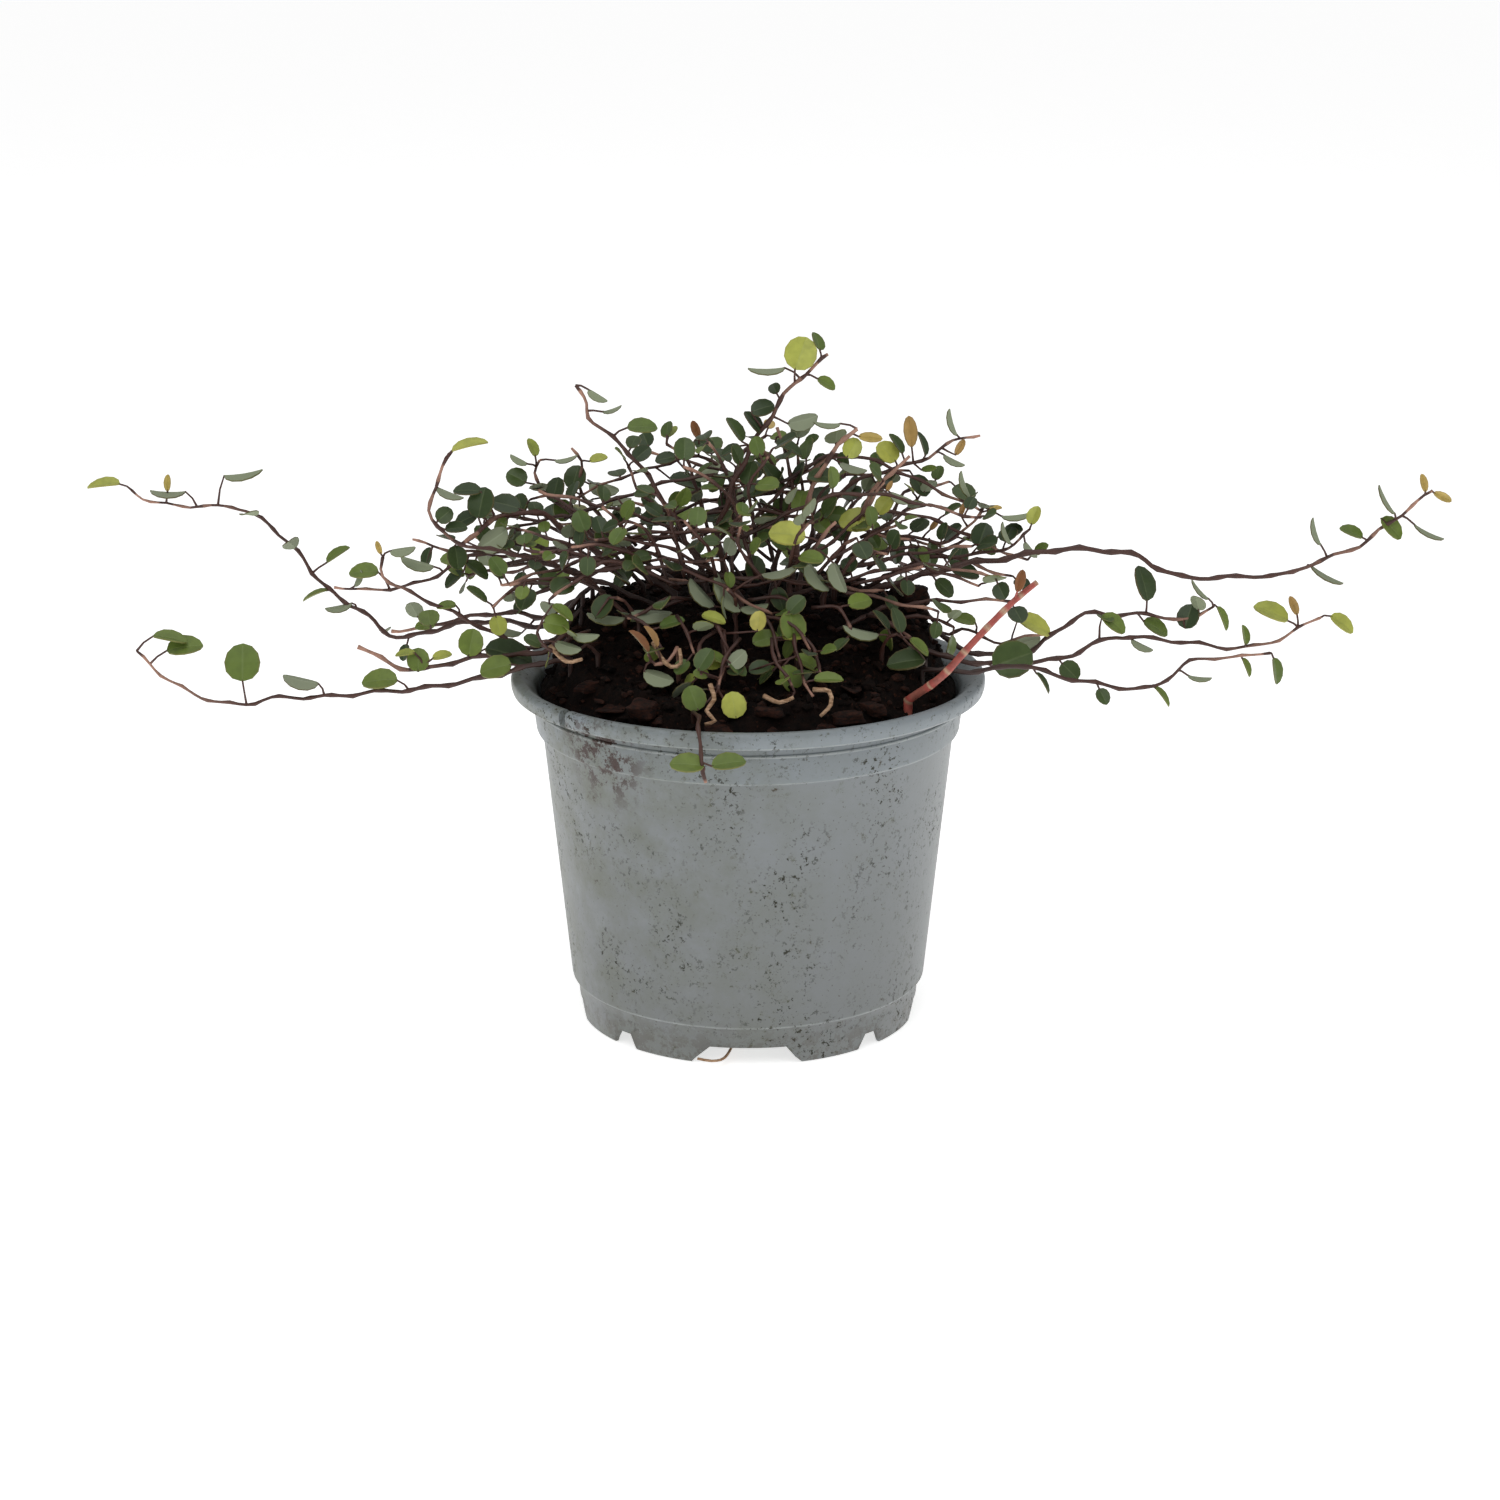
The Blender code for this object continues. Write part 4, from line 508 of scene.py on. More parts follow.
# Fine side twigs, as (from across, from up, to across, to up, behind).
TWIGS = {
    "fine_twigs_left": [
        (-24, 112, -44, 122, -16), (-30, 112, -56, 121, -12), (-36, 110, -60, 112, -16),
        (-34, 124, -54, 134, 10), (-28, 122, -36, 132, -6), (-44, 124, -66, 128, 14),
        (-50, 118, -70, 114, 8), (-46, 112, -64, 106, -14), (-26, 116, -48, 128, 26),
        (-20, 112, -30, 128, -14), (-12, 118, -32, 122, 22), (-38, 118, -58, 126, 2),
    ],
    "fine_twigs_centre": [
        (-16, 114, -22, 134, -18), (-8, 114, -16, 128, -20), (-4, 114, -1, 131, -14),
        (4, 113, -2, 128, -22), (-16, 128, -30, 142, 12), (-10, 126, -20, 148, 16), (-2, 128, -10, 148, 6),
        (2, 124, 6, 146, -6), (8, 130, 2, 148, 14), (14, 128, 12, 146, 18), (6, 118, -14, 124, 26),
        (-6, 134, 4, 150, 20),
    ],
    "fine_twigs_right": [
        (10, 114, 16, 129, -18), (16, 113, 27, 124, -16), (22, 112, 35, 120, -14), (26, 112, 44, 117, -12),
        (16, 124, 24, 140, 8), (22, 126, 34, 137, 20), (28, 124, 42, 134, 16), (34, 124, 50, 138, 22),
        (20, 118, 38, 128, -8), (40, 120, 58, 112, -6), (44, 118, 62, 124, 14), (12, 120, 30, 130, 26),
        (30, 116, 48, 122, 24),
    ],
    "fine_twigs_front": [
        (-10, 104, -4, 91, -30), (4, 104, 8, 91, -28), (12, 100, 18, 89, -32), (-2, 98, -8, 85, -38),
        (-40, 100, -50, 95, -26), (30, 104, 42, 97, -16), (-30, 104, -22, 95, -26), (36, 102, 52, 101, -8),
        (0, 108, 14, 101, -20), (-14, 108, -30, 103, -16), (16, 106, 26, 99, -22), (-8, 100, -12, 88, -36),
        (6, 98, 12, 84, -40), (2, 104, 16, 95, -26), (-18, 104, -14, 94, -30),
    ],
    # Long thin stems that cross inside the crown.
    "crossing_wires": [
        (-6, 112, -52, 136, 4), (-2, 112, -40, 124, -10), (8, 112, -24, 146, 18), (-14, 112, 12, 148, 22),
        (4, 112, 34, 138, -4), (14, 112, 56, 122, 4), (-22, 112, -68, 124, 18), (-10, 114, -62, 112, -8),
        (20, 112, 66, 114, 8), (0, 112, -30, 134, 30), (10, 114, 44, 132, 28), (-4, 118, 22, 146, 10),
        (-18, 112, -50, 108, -20), (2, 114, -16, 142, -6), (-52, 121, 18, 128, 2), (-46, 129, 8, 137, 12),
        (-32, 118, 42, 123, 6), (8, 138, 58, 131, 10), (-62, 117, 2, 126, -4), (-2, 124, 58, 129, -8),
        (-36, 124, 28, 134, 24), (-12, 130, 40, 141, 18), (-58, 108, -6, 118, -12), (-30, 104, 34, 110, -6),
        (6, 108, 62, 114, -10), (-44, 115, 6, 104, -16), (-20, 112, 48, 105, -14), (10, 120, 70, 118, 8),
        (-66, 124, -14, 112, 10), (22, 100, 66, 108, -8),
    ],
}

# Dried stalks that curl over the peat at the front, as routes.
DRIED_STALKS = [
    [(-24, 97, -28), (-22, 93, -31), (-19.5, 90.6, -33), (-17, 91.6, -33), (-17.4, 95.4, -33)],
    [(-9.6, 86, -44), (-8.6, 82, -47), (-10.6, 79, -49), (-8.4, 76.4, -51), (-11, 75.4, -51)],
    [(16.6, 84.6, -43), (20.6, 84.2, -45), (21, 80.6, -47), (18.4, 77.6, -48.5)],
    [(4, 83, -45), (8, 81.2, -47), (11.6, 82.6, -47)], [(-50, 96, -26), (-46, 92, -31), (-42, 92.6, -33)],
]

# Bark chips on the peat: (x, y, length, width, height, turn in degrees).
CHIPS = [
    (42, 14, 9, 7.5, 5, 20), (-25, -41, 9, 7, 4, 75), (24, -43, 8, 4.4, 3, 15),
    (30, -38, 7, 4.2, 3, 130), (-38.5, -27, 8, 3.6, 2.6, 40), (5, -47, 7, 3.4, 2.4, 160),
    (-20, 38, 8, 5, 3.4, 60),
]
# The thin root that has come out between the feet.
ROOT_ROUTE = [(-3, -30, 3.2), (-4, -37, 2.4), (-6, -43.5, 1.8), (-9, -46.2, 2.2), (-12.5, -46.6, 3.0)]
# Dry leaves on the peat: (x, y, length, turn in degrees).
DRY_LEAVES = [(-33.5, -35.5, 8, 150), (19.5, -48, 7, 20), (25, -32, 7, 100), (-7, -49.5, 7, 10)]


# ---------------------------------------------------------------- materials
def linear(code):
    """An sRGB hex colour as linear RGBA."""
    parts = [int(code[i:i + 2], 16) / 255 for i in (1, 3, 5)]
    return (*[c / 12.92 if c <= 0.04045 else ((c + 0.055) / 1.055) ** 2.4 for c in parts], 1.0)


def add(tree, kind, links=None, **settings):
    """A node with its settings, each input given a value or linked to a socket."""
    made = tree.nodes.new(kind)
    for key, value in settings.items():
        setattr(made, key, value)
    for key, value in (links or {}).items():
        if isinstance(value, bpy.types.NodeSocket):
            tree.links.new(value, made.inputs[key])
        else:
            made.inputs[key].default_value = value
    return made


def start_material(name, roughness, ior=1.5):
    material = bpy.data.materials.new(name)
    material.use_nodes = True
    shader = material.node_tree.nodes["Principled BSDF"]
    shader.inputs["Roughness"].default_value = roughness
    shader.inputs["IOR"].default_value = ior
    return material, material.node_tree, shader


def mix(tree, factor, one, two):
    """The colour between one and two, as a socket. The colour inputs of a Mix node are its 7th and 8th."""
    made = add(tree, "ShaderNodeMix", data_type="RGBA")
    for index, value in ((0, factor), (6, one), (7, two)):
        if isinstance(value, bpy.types.NodeSocket):
            tree.links.new(value, made.inputs[index])
        else:
            made.inputs[index].default_value = value
    return made.outputs[2]


def between(tree, value, low, high, start=0.0, end=1.0):
    """Value spread from low..high to start..end, clamped, as a socket."""
    ranged = {"Value": value, "From Min": low, "From Max": high, "To Min": start, "To Max": end}
    return add(tree, "ShaderNodeMapRange", ranged).outputs["Result"]


def grain(tree, where, size_mm, detail=3.0, rough=0.5):
    """Noise whose blotches are about size_mm across, as a socket."""
    settings = {"Vector": where, "Scale": 1.0 / (size_mm * MM), "Detail": detail, "Roughness": rough}
    return add(tree, "ShaderNodeTexNoise", settings).outputs["Fac"]


def times(tree, one, two):
    return add(tree, "ShaderNodeMath", {0: one, 1: two}, operation="MULTIPLY").outputs[0]


def bumped(tree, shader, height, depth_mm):
    bump = add(tree, "ShaderNodeBump", {"Height": height, "Strength": 1.0, "Distance": depth_mm * MM})
    tree.links.new(bump.outputs["Normal"], shader.inputs["Normal"])


def pot_material():
    """Injection-moulded grey polypropylene that has stood outdoors: satin, with algae, lime and peat dirt,
    painted highlights along its edges and painted shade on its left side.
    """
    material, tree, shader = start_material("weathered_grey_polypropylene", 0.42)
    where = add(tree, "ShaderNodeTexCoord").outputs["Object"]
    axes = add(tree, "ShaderNodeSeparateXYZ", {"Vector": where})
    height, across = axes.outputs["Z"], axes.outputs["X"]
    colour = mix(tree, between(tree, height, 0.0, 0.075), linear("#757879"), linear("#7e8386"))
    colour = mix(tree, times(tree, grain(tree, where, 22.0), 0.35), colour, linear("#696e6c"))
    colour = mix(tree, between(tree, height, 0.0747, 0.0757), colour, linear("#7d8488"))
    colour = mix(tree, between(tree, height, 0.0845, 0.086), colour, linear("#878f94"))
    # Painted highlights: pale bands along the edges of the rim, bead, collar step and foot ring, broken up in
    # patches.
    patchy = between(tree, grain(tree, where, 6.0), 0.3, 0.6, 0.25, 0.75)
    for level, reach in EDGE_HIGHLIGHTS:
        off = add(tree, "ShaderNodeMath", {0: height, 1: level * MM}, operation="SUBTRACT").outputs[0]
        off = add(tree, "ShaderNodeMath", {0: off}, operation="ABSOLUTE").outputs[0]
        pale_share = times(tree, between(tree, off, reach * MM, 0.3 * reach * MM), patchy)
        colour = mix(tree, pale_share, colour, linear("#a9aeae"))
    left = between(tree, across, 0.012, -0.05)
    # Lime bloom and a film of algae, thickest on the left; the film's thickening to the left is painted shade
    # on the pot's left side.
    lime = times(tree, between(tree, grain(tree, where, 9.0, 6.0, 0.7), 0.5, 0.66), left)
    colour = mix(tree, times(tree, lime, 0.16), colour, linear("#9aa19d"))
    algae_film_and_shade = between(tree, grain(tree, where, 14.0, 6.0, 0.7), 0.36, 0.62)
    # Painted shade: the film darkens the pot's left side more than its right.
    algae_film_and_shade = times(tree, algae_film_and_shade, between(tree, across, 0.03, -0.05, 0.15, 0.85))
    colour = mix(tree, algae_film_and_shade, colour, linear("#63675a"))
    algae = between(tree, grain(tree, where, 3.2, 8.0, 0.85), 0.57, 0.62)
    algae = times(tree, algae, between(tree, grain(tree, where, 15.0, 3.0), 0.42, 0.58))
    algae = times(tree, algae, between(tree, across, 0.05, -0.04, 0.6, 0.9))
    colour = mix(tree, algae, colour, linear("#4d4d38"))
    # Peat splashes: specks about a millimetre across, gathered in patches.
    patches = between(tree, grain(tree, where, 16.0, 3.0), 0.42, 0.62)
    specks = between(tree, grain(tree, where, 1.5, 4.0, 0.75), 0.575, 0.61)
    colour = mix(tree, times(tree, specks, patches), colour, linear("#2b2a1f"))
    dabs = between(tree, grain(tree, where, 7.0, 8.0, 0.8), 0.635, 0.665)
    colour = mix(tree, dabs, colour, linear("#3a3222"))
    fine = between(tree, grain(tree, where, 0.8, 2.0, 0.5), 0.68, 0.71)
    colour = mix(tree, times(tree, fine, 0.7), colour, linear("#45453a"))
    # Brown stains under the rim at the front left, and where water sits on the feet.
    spot = add(tree, "ShaderNodeVectorMath", {0: where, 1: (-0.036, -0.041, 0.079)}, operation="DISTANCE")
    near = between(tree, spot.outputs["Value"], 0.016, 0.007)
    stain = between(tree, grain(tree, where, 4.0, 7.0, 0.8), 0.49, 0.53)
    colour = mix(tree, times(tree, stain, near), colour, linear("#341b12"))
    low = between(tree, height, 0.012, 0.003)
    colour = mix(tree, times(tree, times(tree, stain, low), 0.45), colour, linear("#4a4035"))
    tree.links.new(colour, shader.inputs["Base Color"])
    splashes = times(tree, specks, patches)
    dirt = add(tree, "ShaderNodeMath", {0: splashes, 1: algae}, operation="MAXIMUM").outputs[0]
    tree.links.new(between(tree, dirt, 0.0, 1.0, 0.4, 0.8), shader.inputs["Roughness"])
    bumped(tree, shader, grain(tree, where, 1.1, 4.0, 0.6), 0.05)
    return material


def peat_material():
    """Damp peat with shreds of bark: near black, with reddish fibres."""
    material, tree, shader = start_material("damp_peat", 0.9)
    shader.inputs["Specular IOR Level"].default_value = 0.12
    where = add(tree, "ShaderNodeTexCoord").outputs["Object"]
    clods = between(tree, grain(tree, where, 2.2, 6.0, 0.7), 0.4, 0.65)
    colour = mix(tree, clods, linear("#080504"), linear("#1c100b"))
    colour = mix(tree, between(tree, grain(tree, where, 1.4, 4.0, 0.6), 0.62, 0.7), colour, linear("#3a2015"))
    tree.links.new(colour, shader.inputs["Base Color"])
    bumped(tree, shader, grain(tree, where, 0.9, 6.0, 0.7), 0.6)
    return material


def bark_material(name, dark, light):
    """Composted pine bark: brown, cracked along its layers."""
    material, tree, shader = start_material(name, 0.85)
    shader.inputs["Specular IOR Level"].default_value = 0.2
    where = add(tree, "ShaderNodeTexCoord").outputs["Object"]
    layers = add(tree, "ShaderNodeMapping", {"Vector": where, "Scale": (1.0, 1.0, 3.0)}).outputs["Vector"]
    pale_share = between(tree, grain(tree, layers, 1.8, 5.0, 0.65), 0.38, 0.64)
    colour = mix(tree, pale_share, linear(dark), linear(light))
    tree.links.new(colour, shader.inputs["Base Color"])
    bumped(tree, shader, grain(tree, layers, 0.8, 4.0, 0.6), 0.3)
    return material


def stem_material(name, root, middle, tip):
    """Wiry bark of a thin stem: dark at the root, pink-tan where it is young."""
    material, tree, shader = start_material(name, 0.5)
    where = add(tree, "ShaderNodeTexCoord").outputs["Object"]
    age = add(tree, "ShaderNodeAttribute", attribute_name="youth").outputs["Fac"]
    colour = mix(tree, between(tree, age, 0.0, 0.55), linear(root), linear(middle))
    colour = mix(tree, between(tree, age, 0.8, 1.0), colour, linear(tip))
    streaks = times(tree, between(tree, grain(tree, where, 1.6, 4.0), 0.45, 0.7), 0.35)
    colour = mix(tree, streaks, colour, linear("#1a0f0c"))
    tree.links.new(colour, shader.inputs["Base Color"])
    bumped(tree, shader, grain(tree, where, 0.7, 3.0), 0.08)
    return material


def leaf_material():
    """Thin leathery leaf: satin green above with a paler midrib, grey-green and matt beneath."""
    material, tree, shader = start_material("wire_vine_leaf", 0.45, 1.42)
    where = add(tree, "ShaderNodeTexCoord")
    tint = add(tree, "ShaderNodeAttribute", attribute_name="tint").outputs["Fac"]
    under = add(tree, "ShaderNodeAttribute", attribute_name="underside").outputs["Fac"]
    ramp = add(tree, "ShaderNodeValToRGB", {"Fac": tint})
    steps = ramp.color_ramp.elements
    steps[1].position = LEAF_COLOURS[1][0]
    for step, (_, code) in zip(steps, LEAF_COLOURS):
        step.color = linear(code)
    for place, code in LEAF_COLOURS[2:]:
        steps.new(place).color = linear(code)
    blotches = between(tree, grain(tree, where.outputs["Object"], 2.4), 0.4, 0.7, 0.0, 0.22)
    upper = mix(tree, blotches, ramp.outputs["Color"], linear("#26331a"))
    plan = add(tree, "ShaderNodeSeparateXYZ", {"Vector": where.outputs["UV"]})
    off_centre = add(tree, "ShaderNodeMath", {0: plan.outputs["X"], 1: 0.5}, operation="SUBTRACT").outputs[0]
    off_centre = add(tree, "ShaderNodeMath", {0: off_centre}, operation="ABSOLUTE").outputs[0]
    rib = between(tree, off_centre, 0.05, 0.0)
    upper = mix(tree, times(tree, rib, 0.14), upper, linear("#9aa878"))
    beneath = mix(tree, 0.62, ramp.outputs["Color"], linear("#a9b096"))
    beneath = mix(tree, times(tree, rib, 0.3), beneath, linear("#b9c3a6"))
    edge = between(tree, off_centre, 0.44, 0.5)
    upper = mix(tree, times(tree, edge, 0.3), upper, linear("#8a6a4a"))
    tree.links.new(mix(tree, under, upper, beneath), shader.inputs["Base Color"])
    tree.links.new(between(tree, under, 0.0, 1.0, 0.36, 0.75), shader.inputs["Roughness"])
    shader.inputs["Specular IOR Level"].default_value = 0.4
    return material


# ---------------------------------------------------------------- helpers for pieces
def only(obj):
    """Makes obj the one selected and active object."""
    bpy.ops.object.select_all(action="DESELECT")
    obj.select_set(True)
    bpy.context.view_layer.objects.active = obj


def finish_piece(obj, name, materials, smooth_angle=None):
    """Names a finished piece, brings it to metres at the origin and lets it ride."""
    obj.name = name
    obj.data.name = name
    only(obj)
    bpy.ops.object.transform_apply(location=True, rotation=True, scale=True)
    obj.data.transform(Matrix.Scale(MM, 4))
    if materials:
        obj.data.materials.clear()
        for material in materials:
            obj.data.materials.append(material)
    if smooth_angle:
        bpy.ops.object.shade_smooth_by_angle(angle=math.radians(smooth_angle))
    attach(obj, "root")
    return obj


def smooth(value):
    value = min(1.0, max(0.0, value))
    return value * value * (3.0 - 2.0 * value)


def soil_height(x, y):
    """Height of the peat: a rim-level edge and a root ball that stands highest behind the middle."""
    radius = math.hypot(x, y)
    ball = 7.0 + 12.0 * smooth((y + 34.0) / 44.0)
    shoulder = smooth((52.5 - radius) / 9.0)
    lumps = 0.7 * math.sin(0.31 * x + 0.7) * math.cos(0.27 * y) + 0.5 * math.sin(0.53 * y + 0.41 * x)
    return SOIL_EDGE_HEIGHT + ball * shoulder + lumps * shoulder


def placed(across, up, behind):
    """A point of the drawing, carried behind the drawing plane along its sight line."""
    drawn = Vector((across, 0.0, up))
    return SIGHT + (drawn - SIGHT) * (1.0 + behind / -SIGHT.y)


def seen(point):
    """Where a point falls on the drawing plane."""
    return SIGHT + (point - SIGHT) * (-SIGHT.y / (point.y - SIGHT.y))


def lifted(point, clear):
    """The point, carried toward SIGHT until it is clear of the peat; its place in the drawing stays."""
    while math.hypot(point.x, point.y) < 53.0 and point.z < soil_height(point.x, point.y) + clear:
        point = point + (SIGHT - point).normalized()
    return point


def spline(points, spacing):
    """Catmull-Rom through the points, sampled about every spacing millimetres."""
    ends = [points[0] * 2 - points[1], *points, points[-1] * 2 - points[-2]]
    samples = []
    for p0, p1, p2, p3 in zip(ends, ends[1:], ends[2:], ends[3:]):
        steps = max(1, round((p2 - p1).length / spacing))
        for step in range(steps):
            t = step / steps
            samples.append(0.5 * (2 * p1 + (p2 - p0) * t + (2 * p0 - 5 * p1 + 4 * p2 - p3) * t**2
                                  + (3 * p1 - p0 - 3 * p2 + p3) * t**3))
    samples.append(points[-1])
    return samples


def apply_all(obj):
    only(obj)
    for modifier in list(obj.modifiers):
        bpy.ops.object.modifier_apply(modifier=modifier.name)


# ---------------------------------------------------------------- the pot
def pot_outline():
    """The wall's closed outline as (radius, height), down the outside and up the inside."""
    outside = [
        (58.0, 90.0), (58.8, 90.0), (59.4, 89.8), (59.8, 89.4), (60.0, 88.6), (59.9, 87.2), (59.6, 86.2),
        (59.2, 85.9),
        (58.8, 85.9), (56.4, 86.0), (55.0, 85.9), (54.6, 85.5), (54.4, 83.3), (54.7, 83.1), (54.8, 82.8),
        (54.7, 82.5), (54.4, 82.3), (53.7, 76.4), (53.5, 75.9), (53.1, 75.6),
        (52.4, 75.2), (52.1, 74.7), (46.0, 14.0), (45.7, 11.0), (45.6, 10.4), (45.3, 10.1), (44.8, 9.9),
        (44.5, 9.5), (44.0, 7.2), (43.5, 0.3), (43.3, 0.0),
    ]
    inside = [
        (42.5, 0.0), (42.6, PLATE_BOTTOM), (0.0, PLATE_BOTTOM), (0.0, PLATE_TOP), (42.4, PLATE_TOP),
        (43.4, 8.4),
        (44.2, 10.6), (45.0, 14.2), (51.0, 75.0), (52.4, 76.6), (53.4, 83.0), (53.6, 86.0), (54.4, 87.4),
        (56.2, 88.9), (57.3, 89.8),
    ]
    return outside + inside


def block_cutter(middle, half_bottom, half_top, top):
    """A block through the foot ring with sloping sides, from below the floor up to top."""
    bpy.ops.mesh.primitive_cube_add(size=1.0)
    cutter = bpy.context.object
    for vert in cutter.data.vertices:
        outer = 50.0 if vert.co.x > 0 else 36.0
        upper = vert.co.z > 0
        half = half_top if upper else half_bottom
        angle = math.radians(middle + (half if vert.co.y > 0 else -half))
        vert.co = (outer * math.cos(angle), outer * math.sin(angle), top if upper else -2.0)
    return cutter


def make_pot(material):
    """The nursery pot: curled rim, collar, tapering wall, drainage plate and eight feet."""
    outline = pot_outline()
    count = len(outline)
    lines = [(i, (i + 1) % count) for i in range(count) if outline[i][0] + outline[(i + 1) % count][0] > 0]
    mesh = bpy.data.meshes.new("pot")
    mesh.from_pydata([(r, 0.0, z) for r, z in outline], lines, [])
    pot = bpy.data.objects.new("pot", mesh)
    bpy.context.scene.collection.objects.link(pot)
    turn = pot.modifiers.new("turn", "SCREW")
    turn.steps = turn.render_steps = POT_SIDES
    turn.use_merge_vertices = True
    turn.merge_threshold = 0.001
    cutters = []
    for quarter in range(4):
        gap = -90.0 + 90.0 * quarter
        cutters.append(block_cutter(gap, 21.0, 12.5, FOOT_GAP_TOP))
        cutters.append(block_cutter(gap + 45.0, 6.6, 2.6, NOTCH_TOP))
    spots = [(0.0, 0.0)]
    for hole in range(DRAIN_HOLES):
        angle = 2 * math.pi * (hole + 0.5) / DRAIN_HOLES
        spots.append((DRAIN_RING * math.cos(angle), DRAIN_RING * math.sin(angle)))
    for x, y in spots:
        bpy.ops.mesh.primitive_cylinder_add(vertices=24, radius=DRAIN_RADIUS, depth=5.0, location=(x, y, 5.4))
        cutters.append(bpy.context.object)
    bpy.ops.mesh.primitive_cube_add(size=1.0, location=(60.0, 0.0, 88.0))
    bpy.context.object.scale = (8.6, SPLIT_WIDTH, 8.0)
    bpy.ops.object.transform_apply()
    bpy.context.object.data.transform(Matrix.Rotation(math.radians(SPLIT_ANGLE), 4, "Z"))
    cutters.append(bpy.context.object)
    holder = bpy.data.collections.new("pot_cutters")
    bpy.context.scene.collection.children.link(holder)
    for cutter in cutters:
        holder.objects.link(cutter)
    cut = pot.modifiers.new("cut", "BOOLEAN")
    cut.operand_type = "COLLECTION"
    cut.collection = holder
    apply_all(pot)
    for cutter in cutters:
        bpy.data.objects.remove(cutter, do_unlink=True)
    bpy.data.collections.remove(holder)
    finish_piece(pot, "weathered_pot", [material], 35)
    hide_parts("nursery_pot")


# ---------------------------------------------------------------- the peat
def rough_soil(x, y):
    """The peat's height with its crumbs."""
    radius = math.hypot(x, y)
    fade = smooth((52.6 - radius) / 2.0)
    bumps = noise.fractal(Vector((x, y, 3.0)) * 0.32, 1.0, 2.0, 5) * 1.5
    return soil_height(x, y) + bumps * fade - 0.3


def make_peat(material):
    """A plug of peat that fills the pot, its top broken into crumbs."""
    side = [
        (42.0, PLATE_TOP + SOIL_GAP), (43.0, 8.6), (43.8, 10.8), (44.6, 14.4), (50.6, 75.2), (52.0, 76.9),
        (52.9, 86.0),
    ]
    rings = [52.4 - 0.9 * i for i in range(58)]
    bm = bmesh.new()
    loops = []
    for radius, height in [(r - SOIL_GAP, z) for r, z in side] + [(r, None) for r in rings]:
        loop = []
        for step in range(PEAT_SIDES):
            angle = 2 * math.pi * step / PEAT_SIDES
            x, y = radius * math.cos(angle), radius * math.sin(angle)
            loop.append(bm.verts.new((x, y, rough_soil(x, y) if height is None else height)))
        loops.append(loop)
    for lower, upper in zip(loops, loops[1:]):
        for i in range(PEAT_SIDES):
            j = (i + 1) % PEAT_SIDES
            bm.faces.new((lower[i], lower[j], upper[j], upper[i]))
    bm.faces.new(list(reversed(loops[0])))
    bm.faces.new(loops[-1])
    mesh = bpy.data.meshes.new("peat")
    bm.to_mesh(mesh)
    bm.free()
    soil = bpy.data.objects.new("peat", mesh)
    bpy.context.scene.collection.objects.link(soil)
    finish_piece(soil, "peat_plug", [material], 60)
    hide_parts("peat_root_ball")


def scatter_crumbs(name, count, sizes, material, rng):
    """Broken bits lying on the peat, each a knocked-about ball."""
    bm = bmesh.new()
    for _ in range(count):
        radius = 51.0 * math.sqrt(rng.random())
        angle = rng.uniform(0, 2 * math.pi)
        x, y = radius * math.cos(angle), radius * math.sin(angle)
        size = rng.uniform(*sizes)
        shape = Vector((1.0, rng.uniform(0.5, 0.9), rng.uniform(0.35, 0.7))) * size
        turn = Matrix.Rotation(rng.uniform(0, 6.3), 4, "Z") @ Matrix.Rotation(rng.uniform(-0.5, 0.5), 4, "X")
        lying = Matrix.Translation((x, y, rough_soil(x, y) + shape.z * 0.25))
        place = lying @ turn @ Matrix.Diagonal((*shape, 1))
        made = bmesh.ops.create_icosphere(bm, subdivisions=1, radius=0.5)
        for vert in made["verts"]:
            vert.co = place @ (vert.co * rng.uniform(0.7, 1.25))
    mesh = bpy.data.meshes.new(name)
    bm.to_mesh(mesh)
    bm.free()
    crumbs = bpy.data.objects.new(name, mesh)
    bpy.context.scene.collection.objects.link(crumbs)
    finish_piece(crumbs, name, [material])


def make_chips(material, rng):
    """The larger bark chips: blocks with bevelled, knocked-about corners."""
    for number, (x, y, length, width, height, turn) in enumerate(CHIPS):
        bpy.ops.mesh.primitive_cube_add(size=1.0)
        chip = bpy.context.object
        bpy.ops.object.mode_set(mode="EDIT")
        bpy.ops.mesh.bevel(offset=0.22, segments=2)
        bpy.ops.mesh.subdivide(number_cuts=1)
        bpy.ops.object.mode_set(mode="OBJECT")
        for vert in chip.data.vertices:
            vert.co *= 0.94 + 0.3 * noise.noise(vert.co * 2.3 + Vector((number * 3.1, 0, 0)))
        lying = Matrix.Translation((x, y, soil_height(x, y) + height * 0.42))
        place = lying @ Matrix.Rotation(math.radians(turn), 4, "Z")
        chip.data.transform(place @ Matrix.Diagonal((length, width, height, 1)))
        finish_piece(chip, f"chip_{number + 1}", [material], 40)
        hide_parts(f"bark_chip_{number + 1}")


# ---------------------------------------------------------------- leaves
def leaf_pattern(name, rows, cup, droop):
    """A blade 1 long along +Y from its stalk, from a grid whose rows are set to the leaf's outline."""
    spans = len(rows) - 1
    bpy.ops.mesh.primitive_grid_add(x_subdivisions=4, y_subdivisions=spans, size=1.0, location=(0, 0.5, 0))
    leaf = bpy.context.object
    bpy.ops.object.transform_apply()
    leaf.name = name
    for vert in leaf.data.vertices:
        row = round(vert.co.y * spans)
        vert.co.y = (1.0 - math.cos(math.pi * row / spans)) / 2
        vert.co.x *= rows[row]
        vert.co.z = cup * abs(vert.co.x) - droop * vert.co.y**2
    return leaf


def finish_pattern(leaf):
    """Gives the blade its thickness and marks its underside."""
    skin = leaf.modifiers.new("thickness", "SOLIDIFY")
    skin.thickness = LEAF_THICKNESS / USUAL_LEAF
    skin.offset = 0.0
    apply_all(leaf)
    mark = leaf.data.attributes.new("underside", "FLOAT", "FACE")
    for index, face in enumerate(leaf.data.polygons):
        mark.data[index].value = 1.0 if face.normal.z < -0.2 else 0.0
    leaf.data.attributes.new("tint", "FLOAT", "FACE")
    return leaf.data


